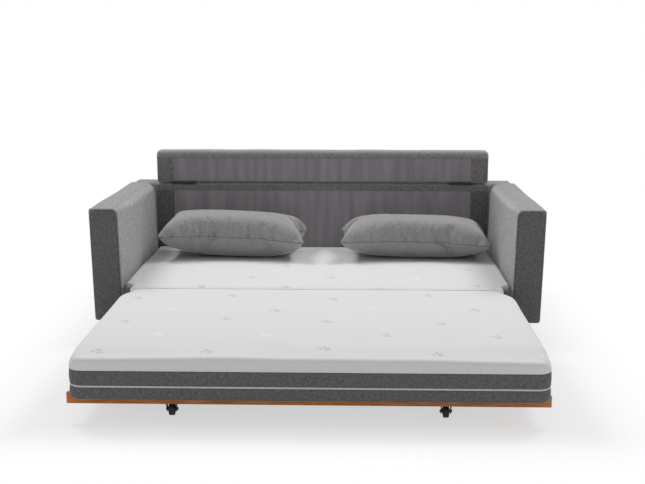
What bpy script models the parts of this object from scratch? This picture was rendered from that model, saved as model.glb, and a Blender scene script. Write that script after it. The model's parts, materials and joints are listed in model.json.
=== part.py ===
"""Pull-out sofa bed, opened out as a bed.

Metres, +Z up, +Y towards the back, the floor at Z = 0, and the origin under the middle of the opened bed.
The slatted front frame rolls in along +Y, the front mattress folds over onto the rear one, and the panel
on the low back turns down in front of it: those three motions turn the bed into a sofa.
"""

import math

import bmesh
import bpy
from mathutils import Matrix, Vector

# Gap that touching pieces keep, and how far a cutter runs past what it cuts.
FIT = 0.0003
OVERRUN = 0.01

# Body: the sleeping width between the arms, the arms and the low back.
INNER_WIDTH = 1.80
ARM_THICKNESS = 0.135
ARM_LENGTH = 0.953
ARM_LEAN = 0.011
ARM_EDGE_RADIUS = 0.022
ARM_FACING_THICKNESS = 0.012
ARM_BOARD_THICKNESS = 0.045
ARM_PADDING = 0.035
BODY_TOP = 0.624
BACK_DEPTH = 0.157
BACK_BOARD_THICKNESS = 0.050
BACK_PADDING = 0.035
BACK_EDGE_RADIUS = 0.016
BOARD_SLACK = 0.0006
BASE_FACING_THICKNESS = 0.012
BASE_FACING_EDGE = 0.004

# Flip panel on the low back, and the linings let into the two fronts.
PANEL_HEIGHT = 0.168
PANEL_DEPTH = 0.100
PANEL_EDGE_RADIUS = 0.020
PANEL_BOARD_THICKNESS = 0.030
PANEL_PADDING = 0.030
LINING_THICKNESS = 0.0015
LINING_SIDE_BORDER = 0.091
LINING_TOP_BORDER = 0.036
PANEL_LINING_TOP_BORDER = 0.034
BACK_LINING_HEIGHT = 0.388

# Butt hinges between the low back and the flip panel.
HINGE_LENGTH = 0.135
HINGE_REACH = 0.030
HINGE_LEAF = 0.0015
HINGE_PIN_RADIUS = 0.0018
HINGE_KNUCKLE_RADIUS = 0.0035
HINGE_FRONT_GAP = 0.001
HINGE_RUNNING_GAP = 0.0004
HINGE_SIDE_GAP = 0.079

# Pull-out frame and the fixed comb that it slides between.
PULLOUT_HEIGHT = 0.0717
RAIL_HEIGHT = 0.023
RAIL_WIDTH = 0.030
SLAT_THICKNESS = 0.020
SLAT_WIDTH = 0.090
SLAT_END_GAP = 0.060
FIXED_SLATS = 6
PULLOUT_TRAVEL = 0.930
END_CLEARANCE = 0.005
FRONT_BOARD_THICKNESS = 0.020
FRONT_BOARD_EDGE = 0.002
CASTER_RAIL_WIDTH = 0.060
CROSS_RAIL_SIDE_GAP = 0.040
SIDE_RAIL_WIDTH = 0.080
SIDE_RAIL_CLEARANCE = 0.005
RAIL_END_INSET = 0.005
SIDE_RAIL_SETBACK = 0.020

# Feet under the rails.
FOOT_TOP_RADIUS = 0.027
FOOT_BOTTOM_RADIUS = 0.020
FOOT_FROM_END = 0.075
SLIM_FOOT_TOP_RADIUS = 0.014
SLIM_FOOT_BOTTOM_RADIUS = 0.011

# Casters.
CASTER_SPREAD = 1.038
CASTER_SETBACK = 0.067
CASTER_TRAIL = 0.015
WHEEL_TOP_CLEARANCE = 0.0055
WHEEL_WIDTH = 0.022
WHEEL_HUB_RADIUS = 0.010
WHEEL_HUB_EXTRA = 0.0035
WHEEL_TREAD_ROUND = 0.004
WHEEL_DISH_DEPTH = 0.003
HUB_SIDE_GAP = 0.002
FORK_CHEEK = 0.0025
FORK_CHEEK_LENGTH = 0.020
FORK_CROWN_HEIGHT = 0.004
FORK_CROWN_LENGTH = 0.036
SWIVEL_HEIGHT = 0.0091
SWIVEL_RADIUS = 0.017
CASTER_PLATE_SIDE = 0.050
CASTER_PLATE_THICKNESS = 0.0025
KINGPIN_RADIUS = 0.004
KINGPIN_CLEARANCE = 0.0004
AXLE_RADIUS = 0.003
AXLE_CLEARANCE = 0.0004
AXLE_HEAD_RADIUS = 0.0055
AXLE_HEAD_THICKNESS = 0.004

# Mattress.
MATTRESS_REACH = 1.068
MATTRESS_OVERHANG = 0.055
MATTRESS_THICKNESS = 0.1675
MATTRESS_CROWN = 0.004
MATTRESS_TOP_ROUND = 0.042
MATTRESS_BOTTOM_ROUND = 0.022
MATTRESS_SIDE_DRAW = 0.004
FRONT_HALF_WIDTH = 0.888
FRONT_CORNER_RADIUS = 0.105
FOOT_CORNER_RADIUS = 0.050
REAR_SIDE_GAP = 0.006
REAR_CORNER_RADIUS = 0.024
REAR_EDGE_ROUND = 0.012
REAR_CROWN = 0.002
BACK_CLEARANCE = 0.0022
FOLD_SETOUT = 0.063
FOLD_CLEARANCE = 0.002
HEAD_START = 0.552
HEAD_DROP = 0.004
ROLL_HALF_WIDTH = 0.855
ROLL_FLAT = 0.003
CLOTH_THICKNESS = 0.0015
CLOTH_SIDE_GAP = 0.006

# Pillows.
PILLOW_WIDTH = 0.750
PILLOW_DEPTH = 0.400
PILLOW_RISES = (0.112, 0.118)
PILLOW_PRESS = 0.007
PILLOW_SEAM_HEIGHTS = (0.120, 0.105)
PILLOW_ARM_GAPS = (0.075, 0.044)
PILLOW_BACK_GAP = 0.080
PILLOW_EASE = 0.050

# Shares and turns that set the curves of the soft pieces, and the angle above which an edge stays sharp.
CROWN_INSET_SHARES = (0.30, 0.65)
PILLOW_SIDE_DRAW_SHARE = 0.055
PILLOW_FRONT_DRAW_SHARE = 0.10
PILLOW_FLANK_SHARE = 2.6
PILLOW_SWELL_SHARE = 0.60
PILLOW_TILT = math.radians(0.5)
PILLOW_TURNS = (math.radians(-0.1), math.radians(-0.3))
PILLOW_ROLLS = (math.radians(2.0), math.radians(0.9))
GROOVE_ANGLE = math.radians(24)
SHARP_ANGLE = math.radians(40)

# Counts.
ARC_STEPS = 4
PLAN_ARC_STEPS = 6
SIDE_STEPS = 5
FOOT_SIDES = 24
WHEEL_SIDES = 32
PIN_SIDES = 16
HEX_SIDES = 6
PILLOW_COLUMNS = 18
PILLOW_ROWS = 12

# Heights and radii that follow from those sizes.
SLAT_BOTTOM = PULLOUT_HEIGHT + RAIL_HEIGHT + FIT
FRAME_TOP = SLAT_BOTTOM + SLAT_THICKNESS
BODY_BOTTOM = FRAME_TOP + FIT
MATTRESS_BOTTOM = FRAME_TOP + FIT
MATTRESS_TOP = MATTRESS_BOTTOM + MATTRESS_THICKNESS
HEAD_TOP = MATTRESS_TOP - HEAD_DROP
FOLD_HEIGHT = MATTRESS_TOP + FOLD_CLEARANCE
HINGE_PIN_HEIGHT = BODY_TOP + FIT + HINGE_LEAF + FIT / 2
PANEL_BOTTOM = HINGE_PIN_HEIGHT + FIT / 2 + HINGE_LEAF + FIT
PANEL_TOP = PANEL_BOTTOM + PANEL_HEIGHT
PLATE_TOP = PULLOUT_HEIGHT - FIT
PLATE_BOTTOM = PLATE_TOP - CASTER_PLATE_THICKNESS
SWIVEL_TOP = PLATE_BOTTOM - FIT
FORK_CROWN_TOP = SWIVEL_TOP - SWIVEL_HEIGHT
FORK_CROWN_BOTTOM = FORK_CROWN_TOP - FORK_CROWN_HEIGHT
WHEEL_RADIUS = (FORK_CROWN_BOTTOM - WHEEL_TOP_CLEARANCE) / 2
FORK_WIDTH = WHEEL_WIDTH + 2 * (WHEEL_HUB_EXTRA + HUB_SIDE_GAP + FORK_CHEEK)

# Places along Y and X that follow from those sizes.
TOTAL_LENGTH = MATTRESS_REACH + ARM_LENGTH + BACK_DEPTH
BED_FRONT = -TOTAL_LENGTH / 2
ARM_FRONT = BED_FRONT + MATTRESS_REACH
BACK_FRONT = ARM_FRONT + ARM_LENGTH
REAR = BACK_FRONT + BACK_DEPTH
ARM_INNER = INNER_WIDTH / 2
ARM_OUTER = ARM_INNER + ARM_THICKNESS
BOARD_FRONT = BED_FRONT + MATTRESS_OVERHANG
BOARD_BACK = BOARD_FRONT + FRONT_BOARD_THICKNESS
FOLD_Y = ARM_FRONT - FOLD_SETOUT
ROLL_RADIUS = FOLD_SETOUT - ROLL_FLAT
HEAD_Y = ARM_FRONT + HEAD_START
RAIL_INNER = ARM_INNER + SIDE_RAIL_CLEARANCE
RAIL_OUTER = RAIL_INNER + SIDE_RAIL_WIDTH
SLAT_PITCH = (RAIL_INNER - SLAT_END_GAP - SLAT_WIDTH / 2) / (FIXED_SLATS - 1)
REAR_RAIL_BACK = REAR - RAIL_END_INSET
REAR_RAIL_FRONT = REAR_RAIL_BACK - RAIL_WIDTH
PULLOUT_REAR = REAR_RAIL_FRONT - END_CLEARANCE - PULLOUT_TRAVEL
STOP_RAIL_BACK = PULLOUT_REAR - RAIL_WIDTH - FIT
STOP_RAIL_FRONT = STOP_RAIL_BACK - RAIL_WIDTH
LINING_FRONT = BACK_FRONT - FIT - LINING_THICKNESS
MATTRESS_BACK = LINING_FRONT - BACK_CLEARANCE
HINGE_FROM_MIDDLE = ARM_INNER - HINGE_SIDE_GAP - HINGE_LENGTH / 2
HINGE_PIN_Y = BACK_FRONT - HINGE_FRONT_GAP - HINGE_KNUCKLE_RADIUS
CASTER_Y = BOARD_FRONT + CASTER_SETBACK
WHEEL_Y = CASTER_Y + CASTER_TRAIL
PILLOW_Y = BACK_FRONT - PILLOW_BACK_GAP - PILLOW_DEPTH / 2
SIDES = (("left", -1), ("right", 1))


def clear_scene():
    for old in list(bpy.data.objects):
        bpy.data.objects.remove(old, do_unlink=True)


def finish(name, colour, roughness, metallic=0.0):
    """A Principled material with the piece's colour, roughness and metallic value."""
    material = bpy.data.materials.new(name)
    material.use_nodes = True
    shader = material.node_tree.nodes["Principled BSDF"]
    shader.inputs["Base Color"].default_value = (*colour, 1.0)
    shader.inputs["Roughness"].default_value = roughness
    shader.inputs["Metallic"].default_value = metallic
    material.diffuse_color = (*colour, 1.0)
    return material


def material_set():
    """The finishes, by name."""
    return {
        "grey_fabric": finish("grey_fabric", (0.235, 0.238, 0.242), 0.95),
        "dark_fabric": finish("dark_fabric", (0.085, 0.087, 0.090), 0.95),
        "lining": finish("lining", (0.150, 0.130, 0.145), 0.9),
        "white_knit": finish("white_knit", (0.74, 0.74, 0.75), 0.9),
        "pillow_fabric": finish("pillow_fabric", (0.215, 0.218, 0.222), 0.95),
        "front_wood": finish("front_wood", (0.270, 0.110, 0.042), 0.5),
        "slat_wood": finish("slat_wood", (0.560, 0.380, 0.210), 0.6),
        "board": finish("board", (0.480, 0.330, 0.190), 0.7),
        "black_metal": finish("black_metal", (0.012, 0.012, 0.013), 0.4, 0.6),
        "black_plastic": finish("black_plastic", (0.010, 0.010, 0.010), 0.5),
        "steel": finish("steel", (0.420, 0.420, 0.430), 0.35, 1.0),
    }


def middle_of(points):
    """The middle of the box that holds the points."""
    low = Vector([min(p[i] for p in points) for i in range(3)])
    high = Vector([max(p[i] for p in points) for i in range(3)])
    return (low + high) / 2


def solid(name, points, faces, material, origin=None, smooth=False, turned_out=False):
    """One mesh object from world points, with its faces turned outwards and its origin at its own middle."""
    origin = middle_of(points) if origin is None else Vector(origin)
    mesh = bpy.data.meshes.new(name)
    mesh.from_pydata([Vector(p) - origin for p in points], [], faces)
    if not turned_out:
        shape = bmesh.new()
        shape.from_mesh(mesh)
        bmesh.ops.recalc_face_normals(shape, faces=shape.faces)
        shape.to_mesh(mesh)
        shape.free()
    if material is not None:
        mesh.materials.append(material)
    if smooth:
        mesh.shade_smooth()
        mesh.set_sharp_from_angle(angle=SHARP_ANGLE)
    piece = bpy.data.objects.new(name, mesh)
    piece.location = origin
    bpy.context.scene.collection.objects.link(piece)
    return piece


def loft(name, rings, material, smooth=False):
    """A closed body through rings of as many points each, capped at its first and last ring."""
    count = len(rings[0])
    points = [p for ring in rings for p in ring]
    faces = [tuple(range(count))[::-1]]
    for step in range(len(rings) - 1):
        below, above = step * count, (step + 1) * count
        for i in range(count):
            j = (i + 1) % count
            faces.append((below + i, below + j, above + j, above + i))
    last = (len(rings) - 1) * count
    faces.append(tuple(range(last, last + count)))
    return solid(name, points, faces, material, smooth=smooth)


def block(name, low, high, material, edge=0.0, steps=2):
    """A box between two corners, with its edges rounded where edge is given."""
    x, y, z = zip(low, high)
    rings = [[(x[0], y[0], h), (x[1], y[0], h), (x[1], y[1], h), (x[0], y[1], h)] for h in z]
    piece = loft(name, rings, material, smooth=edge > 0)
    if edge > 0:
        rounding = piece.modifiers.new("rounding", "BEVEL")
        rounding.width = edge
        rounding.segments = steps
        rounding.limit_method = "ANGLE"
    return piece


def cutter_of(piece):
    """Marks a piece as a cutter: it is drawn as wires and never rendered."""
    piece.hide_render = True
    piece.display_type = "WIRE"
    return piece


def combine(piece, other, operation):
    """A Boolean of one piece with a helper, which is then left out of the model."""
    step = piece.modifiers.new(operation.lower(), "BOOLEAN")
    step.operation = operation
    step.solver = "EXACT"
    step.object = cutter_of(other)
    return piece


def circle(centre, radius, sides, axis):
    """Points round a circle about the X, Y or Z axis."""
    points = []
    for i in range(sides):
        angle = 2 * math.pi * i / sides
        a, b = radius * math.cos(angle), radius * math.sin(angle)
        offset = {"X": (0, a, b), "Y": (b, 0, a), "Z": (a, b, 0)}[axis]
        points.append(Vector(centre) + Vector(offset))
    return points


def turned(name, centre, axis, profile, sides, material, smooth=True):
    """A solid turned about the axis, whose profile lists (place along it, radius) from end to end."""
    along = Vector({"X": (1, 0, 0), "Y": (0, 1, 0), "Z": (0, 0, 1)}[axis])
    middle = Vector(centre)
    rings = [circle(middle + along * place, radius, sides, axis) for place, radius in profile]
    return loft(name, rings, material, smooth=smooth)


def arc(centre, radius, start, end, steps):
    """Points along an arc, both ends included."""
    return [
        (
            centre[0] + radius * math.cos(start + (end - start) * i / steps),
            centre[1] + radius * math.sin(start + (end - start) * i / steps),
        )
        for i in range(steps + 1)
    ]


def rounded_rectangle(low, high, radii, arc_steps, side_steps=1, draw=0.0):
    """An outline with round corners, whose two long flanks are drawn in between their corners.

    The radii are that of the two corners on the high side and that of the two on the low side.
    """
    half_turn = math.pi / 2
    upper, lower = radii
    corners = (
        ((high[0] - upper, high[1] - upper), upper, 0),
        ((low[0] + upper, high[1] - upper), upper, half_turn),
        ((low[0] + lower, low[1] + lower), lower, 2 * half_turn),
        ((high[0] - lower, low[1] + lower), lower, 3 * half_turn),
    )
    outline = []
    for index, (centre, radius, start) in enumerate(corners):
        outline += arc(centre, radius, start, start + half_turn, arc_steps)
        first = Vector(outline[-1])
        after_centre, after_radius, after_start = corners[(index + 1) % len(corners)]
        second = Vector(arc(after_centre, after_radius, after_start, after_start + half_turn, 1)[0])
        for step in range(1, side_steps):
            share = step / side_steps
            point = first.lerp(second, share)
            if index % 2:
                point.x += math.copysign(draw, -point.x) * (1 - (2 * share - 1) ** 2)
            outline.append(tuple(point))
    return outline


def cushion(name, low, high, corners, top_round, bottom_round, crown, draw, material):
    """A mattress section: round edges, flanks drawn in between the corners, and a crowned top.

    The corners are the plan radius of the two on the high side and that of the two on the low side.
    """
    levels = []
    for i in range(ARC_STEPS + 1):
        angle = math.pi / 2 * i / ARC_STEPS
        inset = bottom_round * (1 - math.sin(angle))
        levels.append((inset, low[2] + bottom_round * (1 - math.cos(angle))))
    shoulder = high[2] - crown
    for i in range(ARC_STEPS + 1):
        angle = math.pi / 2 * i / ARC_STEPS
        inset = top_round * (1 - math.cos(angle))
        levels.append((inset, shoulder - top_round * (1 - math.sin(angle))))
    half = min(high[0] - low[0], high[1] - low[1]) / 2
    for share in CROWN_INSET_SHARES:
        inset = top_round + share * (half - top_round)
        levels.append((inset, high[2] - crown * (1 - share) ** 2))
    rings = []
    for inset, height in levels:
        outline = rounded_rectangle(
            (low[0] + inset, low[1] + inset),
            (high[0] - inset, high[1] - inset),
            [max(corner - inset, corner / PLAN_ARC_STEPS) for corner in corners],
            PLAN_ARC_STEPS,
            SIDE_STEPS,
            draw,
        )
        rings.append([(x, y, height) for x, y in outline])
    return loft(name, rings, material, smooth=True)


def body(name, place, parent=None):
    """An empty on a joint's axis, which carries the pieces of one moving body."""
    carrier = bpy.data.objects.new(name, None)
    carrier.empty_display_size = FORK_WIDTH
    carrier["place"] = place
    carrier.location = Vector(place)
    if parent is not None:
        carrier.parent = parent
        carrier.location -= Vector(parent["place"])
    bpy.context.scene.collection.objects.link(carrier)
    return carrier


def carry(carrier, *pieces):
    """Parents pieces to a body's empty and leaves them where they are."""
    for piece in pieces:
        piece.parent = carrier
        piece.location -= Vector(carrier["place"])


def helpers_of(*pieces):
    """The cutters and joined helpers that the pieces' modifiers use."""
    found = []
    for piece in pieces:
        found += [m.object for m in piece.modifiers if m.type == "BOOLEAN"]
    return found


def arm_outline(side, inset=0.0):
    """The leaning front outline of an arm, with round corners, as (x, z)."""
    inner, outer = sorted((side * ARM_INNER, side * ARM_OUTER))
    outline = rounded_rectangle(
        (inner + inset, BODY_BOTTOM + inset),
        (outer - inset, BODY_TOP - inset),
        (ARM_EDGE_RADIUS - inset, ARM_EDGE_RADIUS - inset),
        ARC_STEPS,
    )
    rise = BODY_TOP - BODY_BOTTOM
    return [(x + side * ARM_LEAN * (z - BODY_BOTTOM) / rise, z) for x, z in outline]


def build_arm(label, side, finishes):
    """Cover, facing and inner board of one arm."""
    cover_front = ARM_FRONT + ARM_FACING_THICKNESS + FIT
    cover_back = BACK_FRONT - FIT
    outline = arm_outline(side)
    rings = [[(x, y, z) for x, z in outline] for y in (cover_front, cover_back)]
    cover = loft(f"{label}_arm_cover", rings, finishes["grey_fabric"], smooth=True)
    rings = [[(x, y, z) for x, z in outline] for y in (ARM_FRONT, cover_front - FIT)]
    loft(f"{label}_arm_facing", rings, finishes["dark_fabric"], smooth=True)
    middle = side * (ARM_INNER + ARM_OUTER) / 2
    half = ARM_BOARD_THICKNESS / 2
    board_front, board_back = cover_front + ARM_PADDING, cover_back - ARM_PADDING
    board_top = BODY_TOP - ARM_PADDING
    slot = block(
        f"{label}_arm_slot",
        (middle - half - BOARD_SLACK, board_front - BOARD_SLACK, BODY_BOTTOM - OVERRUN),
        (middle + half + BOARD_SLACK, board_back + BOARD_SLACK, board_top + BOARD_SLACK),
        None,
    )
    combine(cover, slot, "DIFFERENCE")
    block(
        f"{label}_arm_board",
        (middle - half, board_front, BODY_BOTTOM),
        (middle + half, board_back, board_top),
        finishes["board"],
    )


def build_base_facing(label, side, finishes):
    """The short covered end of the base's front, in the notch between the roll and the arm."""
    near, far = sorted((side * (ROLL_HALF_WIDTH + FIT), side * (ARM_INNER - FIT)))
    block(
        f"{label}_base_facing",
        (near, ARM_FRONT - BASE_FACING_THICKNESS, BODY_BOTTOM),
        (far, ARM_FRONT, MATTRESS_TOP - REAR_EDGE_ROUND),
        finishes["dark_fabric"],
        BASE_FACING_EDGE,
    )


def build_back(finishes):
    """Cover, inner board and lining of the low back."""
    cover = block(
        "back_cover",
        (-ARM_OUTER, BACK_FRONT, BODY_BOTTOM),
        (ARM_OUTER, REAR, BODY_TOP),
        finishes["grey_fabric"],
        BACK_EDGE_RADIUS,
        ARC_STEPS,
    )
    middle = (BACK_FRONT + REAR) / 2
    half = BACK_BOARD_THICKNESS / 2
    reach = ARM_OUTER - BACK_PADDING
    board_top = BODY_TOP - BACK_PADDING
    slot = block(
        "back_slot",
        (-reach - BOARD_SLACK, middle - half - BOARD_SLACK, BODY_BOTTOM - OVERRUN),
        (reach + BOARD_SLACK, middle + half + BOARD_SLACK, board_top + BOARD_SLACK),
        None,
    )
    combine(cover, slot, "DIFFERENCE")
    block(
        "back_board",
        (-reach, middle - half, BODY_BOTTOM),
        (reach, middle + half, board_top),
        finishes["board"],
    )
    lining_top = BODY_TOP - LINING_TOP_BORDER
    lining_side = ARM_INNER - LINING_SIDE_BORDER
    block(
        "back_lining",
        (-lining_side, LINING_FRONT, lining_top - BACK_LINING_HEIGHT),
        (lining_side, LINING_FRONT + LINING_THICKNESS, lining_top),
        finishes["lining"],
    )


def build_panel(finishes):
    """Cover, inner board and lining of the flip panel, which turns about the hinge pins."""
    carrier = body("back_flip_axis", (0, HINGE_PIN_Y, HINGE_PIN_HEIGHT))
    panel_rear = BACK_FRONT + PANEL_DEPTH
    cover = block(
        "panel_cover",
        (-ARM_INNER, BACK_FRONT, PANEL_BOTTOM),
        (ARM_INNER, panel_rear, PANEL_TOP),
        finishes["grey_fabric"],
        PANEL_EDGE_RADIUS,
        ARC_STEPS,
    )
    middle = (BACK_FRONT + panel_rear) / 2
    half = PANEL_BOARD_THICKNESS / 2
    reach = ARM_INNER - PANEL_PADDING
    board_top = PANEL_TOP - PANEL_PADDING
    slot = block(
        "panel_slot",
        (-reach - BOARD_SLACK, middle - half - BOARD_SLACK, PANEL_BOTTOM - OVERRUN),
        (reach + BOARD_SLACK, middle + half + BOARD_SLACK, board_top + BOARD_SLACK),
        None,
    )
    combine(cover, slot, "DIFFERENCE")
    board = block(
        "panel_board",
        (-reach, middle - half, PANEL_BOTTOM),
        (reach, middle + half, board_top),
        finishes["board"],
    )
    lining_side = ARM_INNER - LINING_SIDE_BORDER
    lining = block(
        "panel_lining",
        (-lining_side, LINING_FRONT, PANEL_BOTTOM + PANEL_EDGE_RADIUS / 2),
        (lining_side, LINING_FRONT + LINING_THICKNESS, PANEL_TOP - PANEL_LINING_TOP_BORDER),
        finishes["lining"],
    )
    carry(carrier, cover, board, lining, *helpers_of(cover))
    return carrier


def hinge_leaf(name, middle, plate_bottom, spans, finishes):
    """One leaf: a plate behind the pin, with a knuckle round the pin over each span along X."""
    half = HINGE_LENGTH / 2
    plate_top = plate_bottom + HINGE_LEAF
    plate_front = HINGE_PIN_Y + HINGE_KNUCKLE_RADIUS + HINGE_RUNNING_GAP
    plate_back = HINGE_PIN_Y + HINGE_REACH
    leaf = block(
        name,
        (middle - half, plate_front, plate_bottom),
        (middle + half, plate_back, plate_top),
        finishes["black_metal"],
    )
    hole_radius = HINGE_PIN_RADIUS + HINGE_RUNNING_GAP
    for index, (start, end) in enumerate(spans):
        first, last = middle + start + HINGE_RUNNING_GAP, middle + end - HINGE_RUNNING_GAP
        tab = block(
            f"{name}_tab_{index}",
            (first, HINGE_PIN_Y, plate_bottom),
            (last, plate_front + HINGE_LEAF, plate_top),
            None,
        )
        combine(leaf, tab, "UNION")
        knuckle = turned(
            f"{name}_knuckle_{index}",
            (0, HINGE_PIN_Y, HINGE_PIN_HEIGHT),
            "X",
            [(first, HINGE_KNUCKLE_RADIUS), (last, HINGE_KNUCKLE_RADIUS)],
            PIN_SIDES,
            None,
        )
        combine(leaf, knuckle, "UNION")
    bore = turned(
        f"{name}_bore",
        (0, HINGE_PIN_Y, HINGE_PIN_HEIGHT),
        "X",
        [(middle - half - OVERRUN, hole_radius), (middle + half + OVERRUN, hole_radius)],
        PIN_SIDES,
        None,
    )
    combine(leaf, bore, "DIFFERENCE")
    return leaf


def build_hinges(panel, finishes):
    """Two butt hinges: the lower leaf lies on the low back, the upper one under the flip panel."""
    half = HINGE_LENGTH / 2
    third = HINGE_LENGTH / 3
    outer_spans = ((-half, third - half), (half - third, half))
    inner_spans = ((third - half, half - third),)
    for label, side in SIDES:
        middle = side * HINGE_FROM_MIDDLE
        hinge_leaf(f"{label}_hinge_lower_leaf", middle, BODY_TOP + FIT, outer_spans, finishes)
        upper = hinge_leaf(
            f"{label}_hinge_upper_leaf", middle, HINGE_PIN_HEIGHT + FIT / 2, inner_spans, finishes
        )
        carry(panel, upper, *helpers_of(upper))
        turned(
            f"{label}_hinge_pin",
            (middle, HINGE_PIN_Y, HINGE_PIN_HEIGHT),
            "X",
            [(-half, HINGE_PIN_RADIUS), (half, HINGE_PIN_RADIUS)],
            PIN_SIDES,
            finishes["steel"],
        )


def slat_places(count):
    """Middles of a row of slats, every second place of the comb."""
    return [(2 * index - (count - 1)) * SLAT_PITCH for index in range(count)]


def build_base(finishes):
    """Side rails, rear rail, stop rail, fixed slats and feet."""
    wood = finishes["slat_wood"]
    for label, side in SIDES:
        inner, outer = sorted((side * RAIL_INNER, side * RAIL_OUTER))
        block(
            f"{label}_side_rail",
            (inner, ARM_FRONT + SIDE_RAIL_SETBACK, PULLOUT_HEIGHT),
            (outer, REAR_RAIL_BACK, FRAME_TOP),
            wood,
        )
    for name, front in (("rear_rail", REAR_RAIL_FRONT), ("stop_rail", STOP_RAIL_FRONT)):
        block(
            name,
            (-RAIL_INNER + FIT, front, PULLOUT_HEIGHT),
            (RAIL_INNER - FIT, front + RAIL_WIDTH, PULLOUT_HEIGHT + RAIL_HEIGHT),
            wood,
        )
    for number, x in enumerate(slat_places(FIXED_SLATS), 1):
        block(
            f"fixed_slat_{number}",
            (x - SLAT_WIDTH / 2, STOP_RAIL_FRONT, SLAT_BOTTOM),
            (x + SLAT_WIDTH / 2, REAR_RAIL_BACK, FRAME_TOP),
            wood,
        )
    foot_top = PULLOUT_HEIGHT - FIT
    wide = [(0, FOOT_BOTTOM_RADIUS), (foot_top, FOOT_TOP_RADIUS)]
    slim = [(0, SLIM_FOOT_BOTTOM_RADIUS), (foot_top, SLIM_FOOT_TOP_RADIUS)]
    ends = (
        ("front", ARM_FRONT + SIDE_RAIL_SETBACK + FOOT_FROM_END),
        ("rear", REAR_RAIL_BACK - FOOT_FROM_END),
    )
    for label, side in SIDES:
        x = side * (RAIL_INNER + RAIL_OUTER) / 2
        for end, y in ends:
            turned(f"{label}_{end}_foot", (x, y, 0), "Z", wide, FOOT_SIDES, finishes["black_plastic"])
    for name, front in (("centre_front_foot", STOP_RAIL_FRONT), ("centre_rear_foot", REAR_RAIL_FRONT)):
        turned(name, (0, front + RAIL_WIDTH / 2, 0), "Z", slim, FOOT_SIDES, finishes["black_plastic"])


def build_pullout(finishes):
    """Front board, cross rails and slats of the frame that rolls in under the seat."""
    carrier = body("pullout_slide_axis", (0, BOARD_FRONT, PULLOUT_HEIGHT))
    wood = finishes["slat_wood"]
    board = block(
        "front_board",
        (-ARM_INNER, BOARD_FRONT, PULLOUT_HEIGHT),
        (ARM_INNER, BOARD_BACK, FRAME_TOP),
        finishes["front_wood"],
        FRONT_BOARD_EDGE,
    )
    reach = ARM_INNER - CROSS_RAIL_SIDE_GAP
    rails = (
        ("caster_rail", CASTER_Y - CASTER_RAIL_WIDTH / 2, CASTER_RAIL_WIDTH),
        ("pullout_rear_rail", PULLOUT_REAR - RAIL_WIDTH, RAIL_WIDTH),
    )
    carry(carrier, board)
    for name, front, width in rails:
        rail = block(
            name,
            (-reach, front, PULLOUT_HEIGHT),
            (reach, front + width, PULLOUT_HEIGHT + RAIL_HEIGHT),
            wood,
        )
        carry(carrier, rail)
    for number, x in enumerate(slat_places(FIXED_SLATS - 1), 1):
        slat = block(
            f"pullout_slat_{number}",
            (x - SLAT_WIDTH / 2, BOARD_BACK + FIT, SLAT_BOTTOM),
            (x + SLAT_WIDTH / 2, PULLOUT_REAR, FRAME_TOP),
            wood,
        )
        carry(carrier, slat)
    return carrier


def ring_solid(name, centre, profile, sides, material):
    """A ring about the X axis through centre, from a closed profile of (place along X, radius)."""
    points, faces = [], []
    count = len(profile)
    for i in range(sides):
        angle = 2 * math.pi * i / sides
        for place, radius in profile:
            offset = Vector((place, radius * math.cos(angle), radius * math.sin(angle)))
            points.append(Vector(centre) + offset)
    for i in range(sides):
        j = (i + 1) % sides
        for k in range(count):
            m = (k + 1) % count
            faces.append((i * count + k, i * count + m, j * count + m, j * count + k))
    return solid(name, points, faces, material, centre, smooth=True)


def wheel_profile():
    """Closed half section of a wheel: round tread, dished flanks and a hub that stands proud."""
    half = WHEEL_WIDTH / 2
    hub_half = half + WHEEL_HUB_EXTRA
    bore = AXLE_RADIUS + AXLE_CLEARANCE
    dish = half - WHEEL_DISH_DEPTH
    rim = WHEEL_RADIUS - WHEEL_TREAD_ROUND
    right = [
        (half - WHEEL_TREAD_ROUND, WHEEL_RADIUS),
        (half, rim),
        (half, rim - WHEEL_DISH_DEPTH),
        (dish, rim - 2 * WHEEL_DISH_DEPTH),
        (dish, WHEEL_HUB_RADIUS),
        (hub_half, WHEEL_HUB_RADIUS - AXLE_CLEARANCE),
        (hub_half, bore),
    ]
    return right + [(-place, radius) for place, radius in reversed(right)]


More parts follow.
